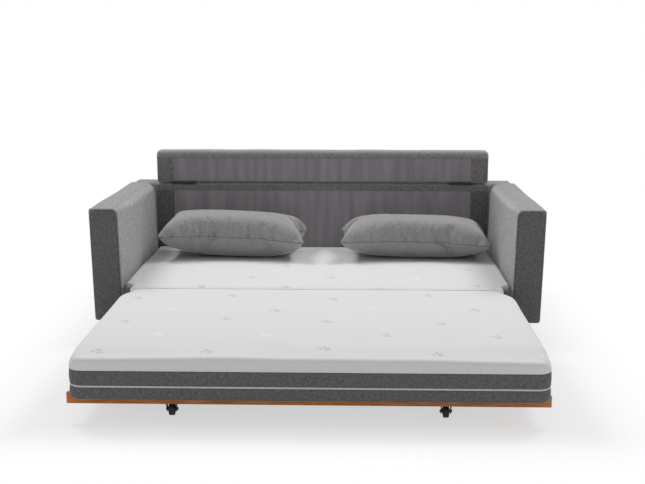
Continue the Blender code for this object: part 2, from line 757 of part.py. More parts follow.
def build_caster(label, side, pullout, finishes):
    """Plate on the pull-out frame, fork that swivels, wheel that rolls, and its axle bolt."""
    x = side * CASTER_SPREAD / 2
    metal = finishes["black_metal"]
    half_plate = CASTER_PLATE_SIDE / 2
    plate = block(
        f"{label}_caster_plate",
        (x - half_plate, CASTER_Y - half_plate, PLATE_BOTTOM),
        (x + half_plate, CASTER_Y + half_plate, PLATE_TOP),
        metal,
    )
    hole = KINGPIN_RADIUS + KINGPIN_CLEARANCE
    bore = turned(
        f"{label}_plate_bore",
        (x, CASTER_Y, 0),
        "Z",
        [(PLATE_BOTTOM - OVERRUN, hole), (PLATE_TOP + OVERRUN, hole)],
        PIN_SIDES,
        None,
    )
    combine(plate, bore, "DIFFERENCE")
    carry(pullout, plate, bore)

    swivel = body(f"caster_{label}_swivel_axis", (x, CASTER_Y, PLATE_BOTTOM), pullout)
    fork = turned(
        f"{label}_caster_fork",
        (x, CASTER_Y, 0),
        "Z",
        [
            (FORK_CROWN_BOTTOM, SWIVEL_RADIUS),
            (SWIVEL_TOP, SWIVEL_RADIUS),
            (SWIVEL_TOP, KINGPIN_RADIUS),
            (PLATE_TOP - FIT, KINGPIN_RADIUS),
        ],
        FOOT_SIDES,
        metal,
        smooth=True,
    )
    half_fork = FORK_WIDTH / 2
    crown = block(
        f"{label}_fork_crown",
        (x - half_fork, CASTER_Y - SWIVEL_RADIUS, FORK_CROWN_BOTTOM),
        (x + half_fork, CASTER_Y - SWIVEL_RADIUS + FORK_CROWN_LENGTH, FORK_CROWN_TOP),
        None,
    )
    combine(fork, crown, "UNION")
    helpers = [crown]
    cheek_front = CASTER_Y - SWIVEL_RADIUS
    cheek_back = cheek_front + FORK_CROWN_LENGTH
    half_foot = FORK_CHEEK_LENGTH / 2
    cheek_bottom = WHEEL_RADIUS - half_foot
    for number, flank in enumerate((-1, 1)):
        near, far = sorted((flank * half_fork, flank * (half_fork - FORK_CHEEK)))
        outline = (
            (cheek_front, FORK_CROWN_TOP),
            (cheek_front, FORK_CROWN_BOTTOM),
            (WHEEL_Y - half_foot, WHEEL_RADIUS),
            (WHEEL_Y - half_foot / 2, cheek_bottom),
            (WHEEL_Y + half_foot / 2, cheek_bottom),
            (WHEEL_Y + half_foot, WHEEL_RADIUS),
            (cheek_back, FORK_CROWN_BOTTOM),
            (cheek_back, FORK_CROWN_TOP),
        )
        rings = [[(x + place, y, z) for y, z in outline] for place in (near, far)]
        cheek = loft(f"{label}_fork_cheek_{number}", rings, None)
        combine(fork, cheek, "UNION")
        helpers.append(cheek)
    axle_hole = AXLE_RADIUS + AXLE_CLEARANCE
    bore = turned(
        f"{label}_fork_bore",
        (x, WHEEL_Y, WHEEL_RADIUS),
        "X",
        [(-half_fork - OVERRUN, axle_hole), (half_fork + OVERRUN, axle_hole)],
        PIN_SIDES,
        None,
    )
    combine(fork, bore, "DIFFERENCE")
    head = half_fork + FIT
    axle = turned(
        f"{label}_caster_axle",
        (x, WHEEL_Y, WHEEL_RADIUS),
        "X",
        [
            (-head - AXLE_HEAD_THICKNESS, AXLE_HEAD_RADIUS),
            (-head, AXLE_HEAD_RADIUS),
            (-head, AXLE_RADIUS),
            (head, AXLE_RADIUS),
            (head, AXLE_HEAD_RADIUS),
            (head + AXLE_HEAD_THICKNESS, AXLE_HEAD_RADIUS),
        ],
        2 * HEX_SIDES,
        finishes["black_metal"],
        smooth=True,
    )
    carry(swivel, fork, axle, bore, *helpers)

    roll = body(f"caster_{label}_roll_axis", (x, WHEEL_Y, WHEEL_RADIUS), swivel)
    wheel = ring_solid(
        f"{label}_caster_wheel",
        (x, WHEEL_Y, WHEEL_RADIUS),
        wheel_profile(),
        WHEEL_SIDES,
        finishes["black_plastic"],
    )
    carry(roll, wheel)


def build_rear_mattress(finishes):
    """Head and seat sections on the fixed slats, and the roll that carries the fold cloth."""
    half = ARM_INNER - REAR_SIDE_GAP
    cushion(
        "mattress_head",
        (-half, HEAD_Y + FIT, MATTRESS_BOTTOM),
        (half, MATTRESS_BACK, HEAD_TOP),
        (REAR_CORNER_RADIUS, REAR_CORNER_RADIUS),
        REAR_EDGE_ROUND,
        REAR_EDGE_ROUND,
        REAR_CROWN,
        MATTRESS_SIDE_DRAW / 2,
        finishes["white_knit"],
    )
    cushion(
        "mattress_seat",
        (-half, ARM_FRONT + FIT, MATTRESS_BOTTOM),
        (half, HEAD_Y, MATTRESS_TOP),
        (REAR_CORNER_RADIUS, REAR_CORNER_RADIUS),
        REAR_EDGE_ROUND,
        REAR_EDGE_ROUND,
        REAR_CROWN,
        MATTRESS_SIDE_DRAW / 2,
        finishes["white_knit"],
    )
    front = FOLD_Y + FIT / 2
    outline = [(ARM_FRONT, MATTRESS_BOTTOM), (ARM_FRONT, MATTRESS_TOP - REAR_CROWN)]
    outline += roll_arc(0.0, math.pi / 2)
    outline.append((front, MATTRESS_BOTTOM))
    rings = [[(x, y, z) for y, z in outline] for x in (-ROLL_HALF_WIDTH, ROLL_HALF_WIDTH)]
    loft("mattress_roll", rings, finishes["white_knit"], smooth=True)


def roll_arc(extra, start):
    """The round top edge of the roll, from its top down, at a distance outside its surface."""
    centre = (FOLD_Y + FIT / 2 + ROLL_RADIUS, MATTRESS_TOP - REAR_CROWN - ROLL_RADIUS)
    return arc(centre, ROLL_RADIUS + extra, start, math.pi, 2 * ARC_STEPS)


def build_fold_cloth(finishes):
    """The thin cloth that lies in the groove at the fold and joins the two halves of the mattress."""
    roll_centre = (FOLD_Y + FIT / 2 + ROLL_RADIUS, MATTRESS_TOP - REAR_CROWN - ROLL_RADIUS)
    front_centre = (
        FOLD_Y - FIT / 2 - MATTRESS_TOP_ROUND,
        MATTRESS_TOP - MATTRESS_CROWN - MATTRESS_TOP_ROUND,
    )
    lines = []
    for extra in (FIT, FIT + CLOTH_THICKNESS):
        low = math.pi - GROOVE_ANGLE - extra / ROLL_RADIUS
        over_roll = arc(roll_centre, ROLL_RADIUS + extra, math.pi / 2, low, 2 * ARC_STEPS)
        low = GROOVE_ANGLE + extra / MATTRESS_TOP_ROUND
        over_front = arc(front_centre, MATTRESS_TOP_ROUND + extra, low, math.pi / 2, 2 * ARC_STEPS)
        lines.append(over_roll + over_front)
    outline = lines[0] + lines[1][::-1]
    reach = FRONT_HALF_WIDTH - FRONT_CORNER_RADIUS - CLOTH_SIDE_GAP
    rings = [[(x, y, z) for y, z in outline] for x in (-reach, reach)]
    loft("fold_cloth", rings, finishes["white_knit"], smooth=True)


def build_front_mattress(finishes):
    """The front section, which folds over onto the rear ones about the line above the fold."""
    carrier = body("mattress_fold_axis", (0, FOLD_Y, FOLD_HEIGHT))
    section = cushion(
        "mattress_front",
        (-FRONT_HALF_WIDTH, BED_FRONT, MATTRESS_BOTTOM),
        (FRONT_HALF_WIDTH, FOLD_Y - FIT / 2, MATTRESS_TOP),
        (FRONT_CORNER_RADIUS, FOOT_CORNER_RADIUS),
        MATTRESS_TOP_ROUND,
        MATTRESS_BOTTOM_ROUND,
        MATTRESS_CROWN,
        MATTRESS_SIDE_DRAW,
        finishes["white_knit"],
    )
    carry(carrier, section)


def pillow_floor(y):
    """Height of a pillow's underside: the seat section stands a little above the head one."""
    share = min(max((y - HEAD_Y) / PILLOW_EASE, 0.0), 1.0)
    return MATTRESS_TOP + FIT - HEAD_DROP * share


def build_pillow(index, finishes):
    """A stuffed pillow: pointed corners, drawn-in sides, a high crown and a flat patch where it lies."""
    label, side = SIDES[index]
    from_middle = ARM_INNER - PILLOW_ARM_GAPS[index] - PILLOW_WIDTH / 2
    seam_height = PILLOW_SEAM_HEIGHTS[index]
    centre = Vector((side * from_middle, PILLOW_Y, HEAD_TOP + seam_height))
    lie = Matrix.Rotation(PILLOW_TURNS[index], 3, "Z") @ Matrix.Rotation(PILLOW_TILT, 3, "X")
    lie = lie @ Matrix.Rotation(PILLOW_ROLLS[index], 3, "Y")

    def place(u, v, thickness):
        x = PILLOW_WIDTH / 2 * u * (1 - PILLOW_SIDE_DRAW_SHARE * (1 - v * v))
        y = PILLOW_DEPTH / 2 * v * (1 - PILLOW_FRONT_DRAW_SHARE * (1 - u * u))
        flank = (1 - abs(u) ** PILLOW_FLANK_SHARE) * (1 - abs(v) ** PILLOW_FLANK_SHARE)
        point = centre + lie @ Vector((x, y, thickness * flank**PILLOW_SWELL_SHARE))
        point.z = max(point.z, pillow_floor(point.y))
        return point

    def spread(step, steps):
        return math.sin(math.pi / 2 * (2 * step / steps - 1))

    columns, rows = PILLOW_COLUMNS, PILLOW_ROWS
    points, numbers = [], {}
    for level, thickness in (("top", PILLOW_RISES[index]), ("under", -seam_height - PILLOW_PRESS)):
        for i in range(columns + 1):
            for j in range(rows + 1):
                rim = i in (0, columns) or j in (0, rows)
                if rim and level == "under":
                    numbers[level, i, j] = numbers["top", i, j]
                    continue
                numbers[level, i, j] = len(points)
                points.append(place(spread(i, columns), spread(j, rows), thickness))
    faces = []
    for level in ("top", "under"):
        for i in range(columns):
            for j in range(rows):
                corners = [(i, j), (i + 1, j), (i + 1, j + 1), (i, j + 1)]
                face = [numbers[(level, *corner)] for corner in corners]
                faces.append(face if level == "top" else face[::-1])
    solid(f"{label}_pillow", points, faces, finishes["pillow_fabric"], smooth=True, turned_out=True)


def main():
    clear_scene()
    finishes = material_set()
    for label, side in SIDES:
        build_arm(label, side, finishes)
        build_base_facing(label, side, finishes)
    build_back(finishes)
    panel = build_panel(finishes)
    build_hinges(panel, finishes)
    build_base(finishes)
    pullout = build_pullout(finishes)
    for label, side in SIDES:
        build_caster(label, side, pullout, finishes)
    build_rear_mattress(finishes)
    build_front_mattress(finishes)
    build_fold_cloth(finishes)
    for index in range(len(SIDES)):
        build_pillow(index, finishes)


main()
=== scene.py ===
"""Looks of the pull-out sofa bed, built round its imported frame.

Metres, +Z up, +Y towards the back, the floor at Z = 0. Each class is one sub-assembly: its fields are sizes
in metres, and its methods build the meshes and dress them. Shared places are read from the frame.
"""

from __future__ import annotations

import json
import logging
import math
from collections.abc import Callable, Sequence
from dataclasses import dataclass
from enum import Enum

import bpy
import numpy as np
from mathutils import Matrix, Vector

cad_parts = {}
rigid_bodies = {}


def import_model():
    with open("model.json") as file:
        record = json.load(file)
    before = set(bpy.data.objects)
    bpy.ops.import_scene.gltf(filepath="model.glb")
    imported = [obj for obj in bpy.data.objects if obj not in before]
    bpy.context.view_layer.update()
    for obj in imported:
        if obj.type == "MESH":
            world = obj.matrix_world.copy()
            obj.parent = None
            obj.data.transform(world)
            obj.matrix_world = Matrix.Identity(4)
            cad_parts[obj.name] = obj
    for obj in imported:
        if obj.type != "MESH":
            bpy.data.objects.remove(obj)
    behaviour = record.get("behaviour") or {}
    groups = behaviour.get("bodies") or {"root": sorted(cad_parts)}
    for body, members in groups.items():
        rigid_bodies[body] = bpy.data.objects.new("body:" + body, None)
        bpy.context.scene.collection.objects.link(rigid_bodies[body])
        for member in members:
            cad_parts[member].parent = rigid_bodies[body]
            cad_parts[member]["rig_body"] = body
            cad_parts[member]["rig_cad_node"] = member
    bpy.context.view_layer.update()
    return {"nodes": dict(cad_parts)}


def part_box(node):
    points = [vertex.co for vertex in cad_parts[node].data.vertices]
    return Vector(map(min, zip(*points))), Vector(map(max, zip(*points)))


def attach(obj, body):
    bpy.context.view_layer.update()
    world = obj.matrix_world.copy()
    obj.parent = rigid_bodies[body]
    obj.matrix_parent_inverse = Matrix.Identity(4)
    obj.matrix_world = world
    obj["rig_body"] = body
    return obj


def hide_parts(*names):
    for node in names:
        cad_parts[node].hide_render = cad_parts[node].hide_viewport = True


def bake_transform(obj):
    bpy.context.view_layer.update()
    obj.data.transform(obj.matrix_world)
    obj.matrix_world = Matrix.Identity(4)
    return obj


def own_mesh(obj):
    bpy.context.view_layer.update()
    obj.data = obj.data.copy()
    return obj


Tree = bpy.types.NodeTree
Node = bpy.types.Node
Socket = bpy.types.NodeSocket
Piece = bpy.types.Object
Place = Sequence[float]

LOG = logging.getLogger("sofa_bed")
SIDES = {"left": -1, "right": 1}
# The gap that keeps two touching pieces apart.
FIT = 0.0003


class Body(Enum):
    """The moving bodies of the frame that upholstery rides on."""

    SOFA = "sofa_body"
    PULLOUT = "pullout_frame"
    FRONT = "front_mattress"
    PANEL = "flip_panel"


class Slot(Enum):
    """The material slots of the record."""

    GREY = "grey_fabric"
    DARK = "dark_fabric"
    LINING = "lining"
    KNIT = "white_knit"
    PILLOW = "pillow_fabric"
    SLAT_WOOD = "slat_wood"
    METAL = "black_metal"
    PLASTIC = "black_plastic"


def linear(colour: str) -> tuple[float, float, float, float]:
    """Linear RGBA of an sRGB hex colour.

    Args:
        colour: Six hex digits, such as "87593a".

    Returns:
        The colour as Blender's sockets take it.
    """
    shares = [int(colour[start : start + 2], 16) / 255 for start in (0, 2, 4)]
    return (*(s / 12.92 if s <= 0.04045 else ((s + 0.055) / 1.055) ** 2.4 for s in shares), 1.0)


def feed(tree: Tree, node: Node, inputs: dict) -> None:
    """Sets or links the inputs of a node.

    Args:
        tree: The node tree.
        node: The node.
        inputs: For each input, by name or number, a value, a socket, or a node whose result it takes.
    """
    for name, value in inputs.items():
        if isinstance(value, Node):
            value = next(output for output in value.outputs if output.enabled)
        if isinstance(value, Socket):
            tree.links.new(value, node.inputs[name])
        else:
            node.inputs[name].default_value = value


def add_node(tree: Tree, kind: str, inputs: dict | None = None, **settings) -> Node:
    """Adds a shader node with its settings, its values and its links.

    A Mix node's inputs 0, 6 and 7 are its share and its two colours.

    Args:
        tree: The node tree.
        kind: The node's type, without the word that starts the type of every shader node.
        inputs: What feed takes.
        **settings: The node's own properties.

    Returns:
        The new node.
    """
    node = tree.nodes.new(f"ShaderNode{kind}")
    for name, value in settings.items():
        setattr(node, name, value)
    feed(tree, node, inputs or {})
    return node


@dataclass(frozen=True)
class Finish:
    """What each finish has: its name, its own colour and its roughness."""

    name: str
    colour: str
    roughness: float

    def material(self) -> bpy.types.Material:
        """The finish as a material, made once."""
        made = bpy.data.materials.get(self.name)
        if made is None:
            made = bpy.data.materials.new(self.name)
            made.use_nodes = True
            made.diffuse_color = linear(self.colour)
            tree = made.node_tree
            shader = tree.nodes["Principled BSDF"]
            feed(tree, shader, {"Base Color": linear(self.colour), "Roughness": self.roughness})
            feed(tree, shader, self.dress(tree, add_node(tree, "TexCoord").outputs["Object"]))
        return made

    def dress(self, tree: Tree, place: Socket) -> dict:
        """What the finish feeds its shader.

        Args:
            tree: The material's node tree.
            place: The object coordinates.

        Returns:
            What feed takes for each input of the shader.
        """
        raise NotImplementedError


@dataclass(frozen=True)
class MelangeCloth(Finish):
    """Woven polyester of light and dark yarns, the light ones hairier.

    It gives soft grey blotches about 11 mm wide, a fine speckle, and an edge that pales at a slant. The real
    yarn is about 1 mm thick. It is drawn 3.5 mm thick, because a pixel covers some 4 mm.
    """

    light: str
    fuzz: float = 0.6
    blotch: float = 0.011
    yarn: float = 0.0035
    relief: float = 0.0008

    def dress(self, tree: Tree, place: Socket) -> dict:
        """Mixes the two yarns over blotches and fibres, and raises the weave.

        Args:
            tree: The material's node tree.
            place: The object coordinates.

        Returns:
            What feed takes for each input of the shader.
        """
        blotches = {"Vector": place, "Scale": 1 / self.blotch, "Detail": 3.0, "Roughness": 0.6}
        fibres = {"Vector": place, "Scale": 1 / self.yarn, "Detail": 2.0, "Roughness": 0.7}
        blotches, fibres = (add_node(tree, "TexNoise", noise) for noise in (blotches, fibres))
        both = add_node(tree, "Math", {0: blotches, 1: fibres}, operation="ADD")
        share = add_node(tree, "MapRange", {"Value": both, "From Min": 0.72, "From Max": 1.28})
        yarns = {0: share, 6: linear(self.colour), 7: linear(self.light)}
        hairs = {0: share, 1: self.fuzz * 1.2, 2: self.fuzz * 0.4}
        cells = add_node(tree, "TexVoronoi", {"Vector": place, "Scale": 1 / self.yarn})
        height = add_node(tree, "Math", {0: cells, 1: fibres}, operation="SUBTRACT")
        return {
            "Base Color": add_node(tree, "Mix", yarns, data_type="RGBA"),
            "Normal": add_node(tree, "Bump", {"Height": height, "Distance": self.relief, "Strength": 0.6}),
            "Sheen Weight": add_node(tree, "Math", hairs, operation="MULTIPLY_ADD"),
            "Sheen Roughness": 0.4,
            "Sheen Tint": linear("ffffff"),
            "Specular IOR Level": 0.2,
        }


@dataclass(frozen=True)
class DoubleKnit(Finish):
    """White polyester double-knit ticking.

    It gives a matt white top with slanting ribs and small knitted sprigs, mostly grey, some white as painted
    sheen.
    Real ribs are about 3 mm wide and stitches 1 mm: they are drawn 9.8 mm and 3 mm wide, so that they show. A
    sprig is 45 mm across.
    """

    leaf_colour: str = "c5c5c6"
    # The white leaf colour, and the share of sprigs that take it, paint the sheen of glossy yarn.
    sheen_leaf_colour: str = "fafafa"
    rib_colour: str = "eeeef0"
    sheen_leaf_share: float = 0.2
    rib: float = 0.0098
    rib_relief: float = 0.0009
    slant: tuple[float, float, float] = (0.93, 0.33, 0.33)
    wear: float = 0.1111
    stitch: float = 0.00303
    cell: tuple[float, float, float] = (0.42, 0.20, 0.0)
    start: tuple[float, float, float] = (0.14, 0.045, 0.0)
    leaf: tuple[float, float, float] = (0.0105, 0.0050, 1.0)
    scatter: float = 0.08
    leaves: tuple[tuple[float, float, float], ...] = (
        (-0.015, 0.000, 0.10),
        (0.001, 0.015, 1.25),
        (0.012, 0.004, 0.60),
        (0.003, -0.015, -1.10),
        (0.017, -0.013, -0.50),
    )

    def sprigs(self, tree: Tree, place: Socket) -> tuple[Node, Node]:
        """The share of leaf colour: a sprig in each cell of a staggered pattern, turned and moved by chance.

        Height counts as length, so that the pattern runs down over the edges without being drawn out.

        Args:
            tree: The material's node tree.
            place: The object coordinates.

        Returns:
            A node that is near 1 on a leaf and 0 off it, and one with the chance value of each sprig.
        """
        shifted = add_node(tree, "VectorMath", {0: place, 1: self.start}, operation="ADD")
        parts = add_node(tree, "SeparateXYZ", {0: shifted}).outputs
        run = add_node(tree, "Math", {0: parts["Y"], 1: parts["Z"]}, operation="ADD")
        row = add_node(tree, "Math", {0: run, 1: self.cell[1]}, operation="DIVIDE")
        row = add_node(tree, "Math", {0: row}, operation="FLOOR")
        odd = add_node(tree, "Math", {0: row, 1: 2.0}, operation="FLOORED_MODULO")
        step = add_node(tree, "Math", {0: odd, 1: self.cell[0] / 2}, operation="MULTIPLY")
        across = add_node(tree, "Math", {0: parts["X"], 1: step}, operation="ADD")
        column = add_node(tree, "Math", {0: across, 1: self.cell[0]}, operation="DIVIDE")
        column = add_node(tree, "Math", {0: column}, operation="FLOOR")
        cell = add_node(tree, "CombineXYZ", {0: column, 1: row})
        corner = add_node(tree, "VectorMath", {0: cell, 1: self.cell}, operation="MULTIPLY")
        point = add_node(tree, "CombineXYZ", {0: across, 1: run})
        inside = add_node(tree, "VectorMath", {0: point, 1: corner}, operation="SUBTRACT")
        chance = add_node(tree, "TexWhiteNoise", {"Vector": cell}, noise_dimensions="3D")
        reach = (self.scatter, self.scatter, 0.0)
        moved = add_node(tree, "VectorMath", {0: chance.outputs["Color"], 1: reach}, operation="MULTIPLY")
        middle = tuple((size - most) / 2 for size, most in zip(self.cell, reach))
        middle = add_node(tree, "VectorMath", {0: moved, 1: middle}, operation="ADD")
        local = add_node(tree, "VectorMath", {0: inside, 1: middle}, operation="SUBTRACT")
        turn = add_node(tree, "MapRange", {"Value": chance.outputs["Value"], "To Min": -0.5, "To Max": 0.5})
        turned = add_node(tree, "VectorRotate", {"Vector": local, "Angle": turn}, rotation_type="Z_AXIS")
        nearest = None
        for x, y, angle in self.leaves:
            lie = {"Vector": turned, "Location": (x, y, 0), "Rotation": (0, 0, angle), "Scale": self.leaf}
            leaf = add_node(tree, "Mapping", lie, vector_type="TEXTURE")
            away = add_node(tree, "VectorMath", {0: leaf}, operation="LENGTH")
            nearest = add_node(tree, "Math", {0: nearest, 1: away}, operation="MINIMUM") if nearest else away
        edge = {"Value": nearest, "From Min": 1.2, "From Max": 0.6, "To Max": 0.85}
        return add_node(tree, "MapRange", edge, interpolation_type="SMOOTHSTEP"), chance

    def dress(self, tree: Tree, place: Socket) -> dict:
        """Draws the ribs and sprigs in colour, and the ribs and stitches in relief.

        Args:
            tree: The material's node tree.
            place: The object coordinates.

        Returns:
            What feed takes for each input of the shader.
        """
        phase = add_node(tree, "VectorMath", {0: place, 1: self.slant}, operation="DOT_PRODUCT")
        phase = add_node(tree, "Math", {0: phase, 1: 2 * math.pi / self.rib}, operation="MULTIPLY")
        rib = add_node(tree, "Math", {0: phase}, operation="SINE")
        worn = add_node(tree, "TexNoise", {"Vector": place, "Scale": 1 / self.wear, "Detail": 2.0})
        depth = add_node(tree, "MapRange", {"Value": worn, "From Min": 0.35, "From Max": 0.65})
        ribs = add_node(tree, "Math", {0: rib, 1: depth}, operation="MULTIPLY")
        share = add_node(tree, "MapRange", {"Value": ribs, "From Min": -1.0})
        ground = {0: share, 6: linear(self.colour), 7: linear(self.rib_colour)}
        ground = add_node(tree, "Mix", ground, data_type="RGBA")
        sprigs, chance = self.sprigs(tree, place)
        # Some sprigs, picked by chance, take the white leaf colour: painted sheen.
        bright = add_node(tree, "Math", {0: chance, 1: self.sheen_leaf_share}, operation="LESS_THAN")
        leaf = {0: bright, 6: linear(self.leaf_colour), 7: linear(self.sheen_leaf_colour)}
        leaf = add_node(tree, "Mix", leaf, data_type="RGBA")
        stitches = add_node(tree, "TexVoronoi", {"Vector": place, "Scale": 1 / self.stitch})
        height = add_node(tree, "Math", {0: stitches, 1: 0.35, 2: ribs}, operation="MULTIPLY_ADD")
        relief = {"Height": height, "Distance": self.rib_relief, "Strength": 0.28}
        return {
            "Base Color": add_node(tree, "Mix", {0: sprigs, 6: ground, 7: leaf}, data_type="RGBA"),
            "Normal": add_node(tree, "Bump", relief),
            "Specular IOR Level": 0.15,
        }


@dataclass(frozen=True)
class SpunLining(Finish):
    """Thin spunbonded polypropylene lining.

    It gives a matt purple-grey with faint upright streaks, about 38 mm wide and 0.33 m long, where the fibres
    bunch. The fibres, well under 0.1 mm thick, are drawn 2.4 mm thick, so that they show.
    """

    streak: str = "8a8388"
    streak_size: tuple[float, float, float] = (0.03846, 0.03846, 0.3333)
    fibre: float = 0.002381

    def dress(self, tree: Tree, place: Socket) -> dict:
        """Draws the streaks and a faint fibre grain.

        Args:
            tree: The material's node tree.
            place: The object coordinates.

        Returns:
            What feed takes for each input of the shader.
        """
        dense = tuple(1 / size for size in self.streak_size)
        upright = add_node(tree, "Mapping", {"Vector": place, "Scale": dense})
        streaks = add_node(tree, "TexNoise", {"Vector": upright, "Scale": 1.0, "Detail": 4.0})
        share = add_node(tree, "MapRange", {"Value": streaks, "From Min": 0.3, "From Max": 0.7})
        tones = {0: share, 6: linear(self.colour), 7: linear(self.streak)}
        fibres = add_node(tree, "TexNoise", {"Vector": place, "Scale": 1 / self.fibre, "Detail": 2.0})
        return {
            "Base Color": add_node(tree, "Mix", tones, data_type="RGBA"),
            "Normal": add_node(tree, "Bump", {"Height": fibres, "Distance": 0.0006, "Strength": 0.5}),
            "Sheen Weight": 0.15,
            "Specular IOR Level": 0.25,
        }


@dataclass(frozen=True)
class SawnWood(Finish):
    """Planed and waxed timber.

    It gives a grain that runs along the board, with darker year rings and sunk pores. The grain field is the
    size of one ring along each axis: 5 to 7 mm across a solid board, which is about as wide as real rings,
    and some 100 mm along it. Plywood has plies of 1.2 mm instead. The pores field counts pores across a ring.
    """

    ring: str
    grain: tuple[float, float, float]
    pores: float = 2.464

    def dress(self, tree: Tree, place: Socket) -> dict:
        """Stretches rings and pores along the board, and lets the pores sink.

        Args:
            tree: The material's node tree.
            place: The object coordinates.

        Returns:
            What feed takes for each input of the shader.
        """
        dense = tuple(1 / size for size in self.grain)
        along = add_node(tree, "Mapping", {"Vector": place, "Scale": dense})
        rings = add_node(tree, "TexNoise", {"Vector": along, "Scale": 1.0, "Detail": 6.0, "Distortion": 0.8})
        share = add_node(tree, "MapRange", {"Value": rings, "From Min": 0.36, "From Max": 0.66})
        tones = {0: share, 6: linear(self.ring), 7: linear(self.colour)}
        colour = add_node(tree, "Mix", tones, data_type="RGBA")
        pores = add_node(tree, "TexNoise", {"Vector": along, "Scale": self.pores, "Detail": 3.0})
        sunk = {"Value": pores, "From Min": 0.30, "From Max": 0.48, "To Min": 0.45, "To Max": 0.0}
        dark = {0: add_node(tree, "MapRange", sunk), 6: colour, 7: linear(self.ring)}
        return {
            "Base Color": add_node(tree, "Mix", dark, data_type="RGBA"),
            "Normal": add_node(tree, "Bump", {"Height": pores, "Distance": 0.0004, "Strength": 0.4}),
            "Specular IOR Level": 0.25,
        }


@dataclass(frozen=True)
class CoatedMetal(Finish):
    """Pressed steel under stove enamel or zinc, or moulded nylon, which looks much the same.

    It gives half gloss with a faint orange peel, worn brighter in small specks. The peel's real waves of
    about 1 mm are drawn 2.6 mm wide, so that they show.
    """

    metallic: float = 0.0
    speck: str = "2b2b2d"
    peel: float = 0.002632

    def dress(self, tree: Tree, place: Socket) -> dict:
        """Adds the specks and the orange peel.

        Args:
            tree: The material's node tree.
            place: The object coordinates.

        Returns:
            What feed takes for each input of the shader.
        """
        peel = add_node(tree, "TexNoise", {"Vector": place, "Scale": 1 / self.peel, "Detail": 2.0})
        share = add_node(tree, "MapRange", {"Value": peel, "From Min": 0.6, "From Max": 0.75})
        tones = {0: share, 6: linear(self.colour), 7: linear(self.speck)}
        return {
            "Base Color": add_node(tree, "Mix", tones, data_type="RGBA"),
            "Normal": add_node(tree, "Bump", {"Height": peel, "Distance": 0.0002, "Strength": 0.3}),
            "Metallic": self.metallic,
        }


# The arm, front and border cloths are one grey melange in three tones: the lighter copy on tops and flanks is
# painted light, the darker copies on forward faces and borders are painted shade.
LIT_COVER_CLOTH = MelangeCloth("arm_cloth_painted_light", "7b7b7b", 0.95, "9f9f9f", fuzz=0.9)
SHADED_FRONT_CLOTH = MelangeCloth("front_cloth_painted_shade", "565657", 0.95, "797979", fuzz=0.35)
HALF_SHADED_BORDER_CLOTH = MelangeCloth("border_cloth_painted_shade", "676768", 0.95, "8b8b8c", fuzz=0.4)
SEAM_CLOTH = MelangeCloth("piping_cloth", "6e6e6f", 0.95, "828283", fuzz=0.5)
# A near-black cord laid in seam grooves stands for the shadow in them: painted shade.
SEAM_SHADOW_CORD = MelangeCloth("seam_shadow_painted", "333334", 0.95, "424243", fuzz=0.1)
PILLOW_CLOTH = MelangeCloth("pillow_cloth", "878787", 0.95, "a9a9a9", fuzz=0.7, blotch=0.006)
BAND_CLOTH = MelangeCloth("mattress_band_cloth", "575859", 0.95, "7b7b7a", fuzz=0.2)
KNIT = DoubleKnit("mattress_ticking", "e5e5e5", 0.9)
ZIP_TAPE = MelangeCloth("zip_tape", "c9c9cb", 0.7, "e4e4e6", fuzz=0.1)
LINING = SpunLining("spun_lining", "9f999e", 0.9)
FRONT_WOOD = SawnWood("front_board_wood", "e2975a", 0.55, "b46c39", (0.09333, 0.005091, 0.005091))
SLAT_WOOD = SawnWood("pine_slats", "d2b48a", 0.6, "b48d5e", (0.007, 0.112, 0.007))
STAINED_WOOD = SawnWood("stained_rails", "3a3128", 0.6, "241e19", (0.007, 0.112, 0.007))
PLYWOOD = SawnWood("inner_plywood", "b99c74", 0.75, "98794f", (0.03733, 0.03733, 0.001244))
ENAMEL = CoatedMetal("black_enamel", "08080a", 0.5)
NYLON = CoatedMetal("black_nylon", "0a0a0b", 0.6, speck="161617")
ZINC = CoatedMetal("zinc_steel", "b4b6b8", 0.35, 1.0, "9a9c9e")


def ripples(points: np.ndarray, length: float, amount: float, seed: int) -> np.ndarray:
    """A smooth uneven field, as slack in cloth makes it.

    Args:
        points: Places, one a row.
        length: The usual length of a wave.
        amount: The usual height.
        seed: Picks the field.

    Returns:
        A height for each place.
    """
    waves = 7
    chance = np.random.default_rng(seed)
    total = np.zeros(len(points))
    for _ in range(waves):
        direction = chance.normal(size=points.shape[1])
        direction /= np.linalg.norm(direction)
        wave = 2 * math.pi / (length * chance.uniform(0.7, 1.6))
        total += np.sin(points @ direction * wave + chance.uniform(0, 2 * math.pi))
    return amount * total / math.sqrt(waves)


def ease(value: np.ndarray, start: float, end: float) -> np.ndarray:
    """A share that runs smoothly from 0 at start to 1 at end."""
    share = np.clip((value - start) / (end - start), 0, 1)
    return share * share * (3 - 2 * share)


def new_object(name: str, data: bpy.types.ID) -> Piece:
    """An object in the scene, round its data.

    Args:
        name: The object's name.
        data: Its mesh, curve, camera or lamp.

    Returns:
        The object.
    """
    piece = bpy.data.objects.new(name, data)
    bpy.context.scene.collection.objects.link(piece)
    return piece


def mesh_piece(name: str, points: np.ndarray, faces: np.ndarray) -> Piece:
    """An object with its places in its mesh, shaded smooth.

    Args:
        name: The piece's name.
        points: Its points, one a row.
        faces: The numbers of each face's points, one face a row.

    Returns:
        The object.
    """
    mesh = bpy.data.meshes.new(name)
    mesh.from_pydata(points.tolist(), [], faces.tolist())
    mesh.shade_smooth()
    return new_object(name, mesh)


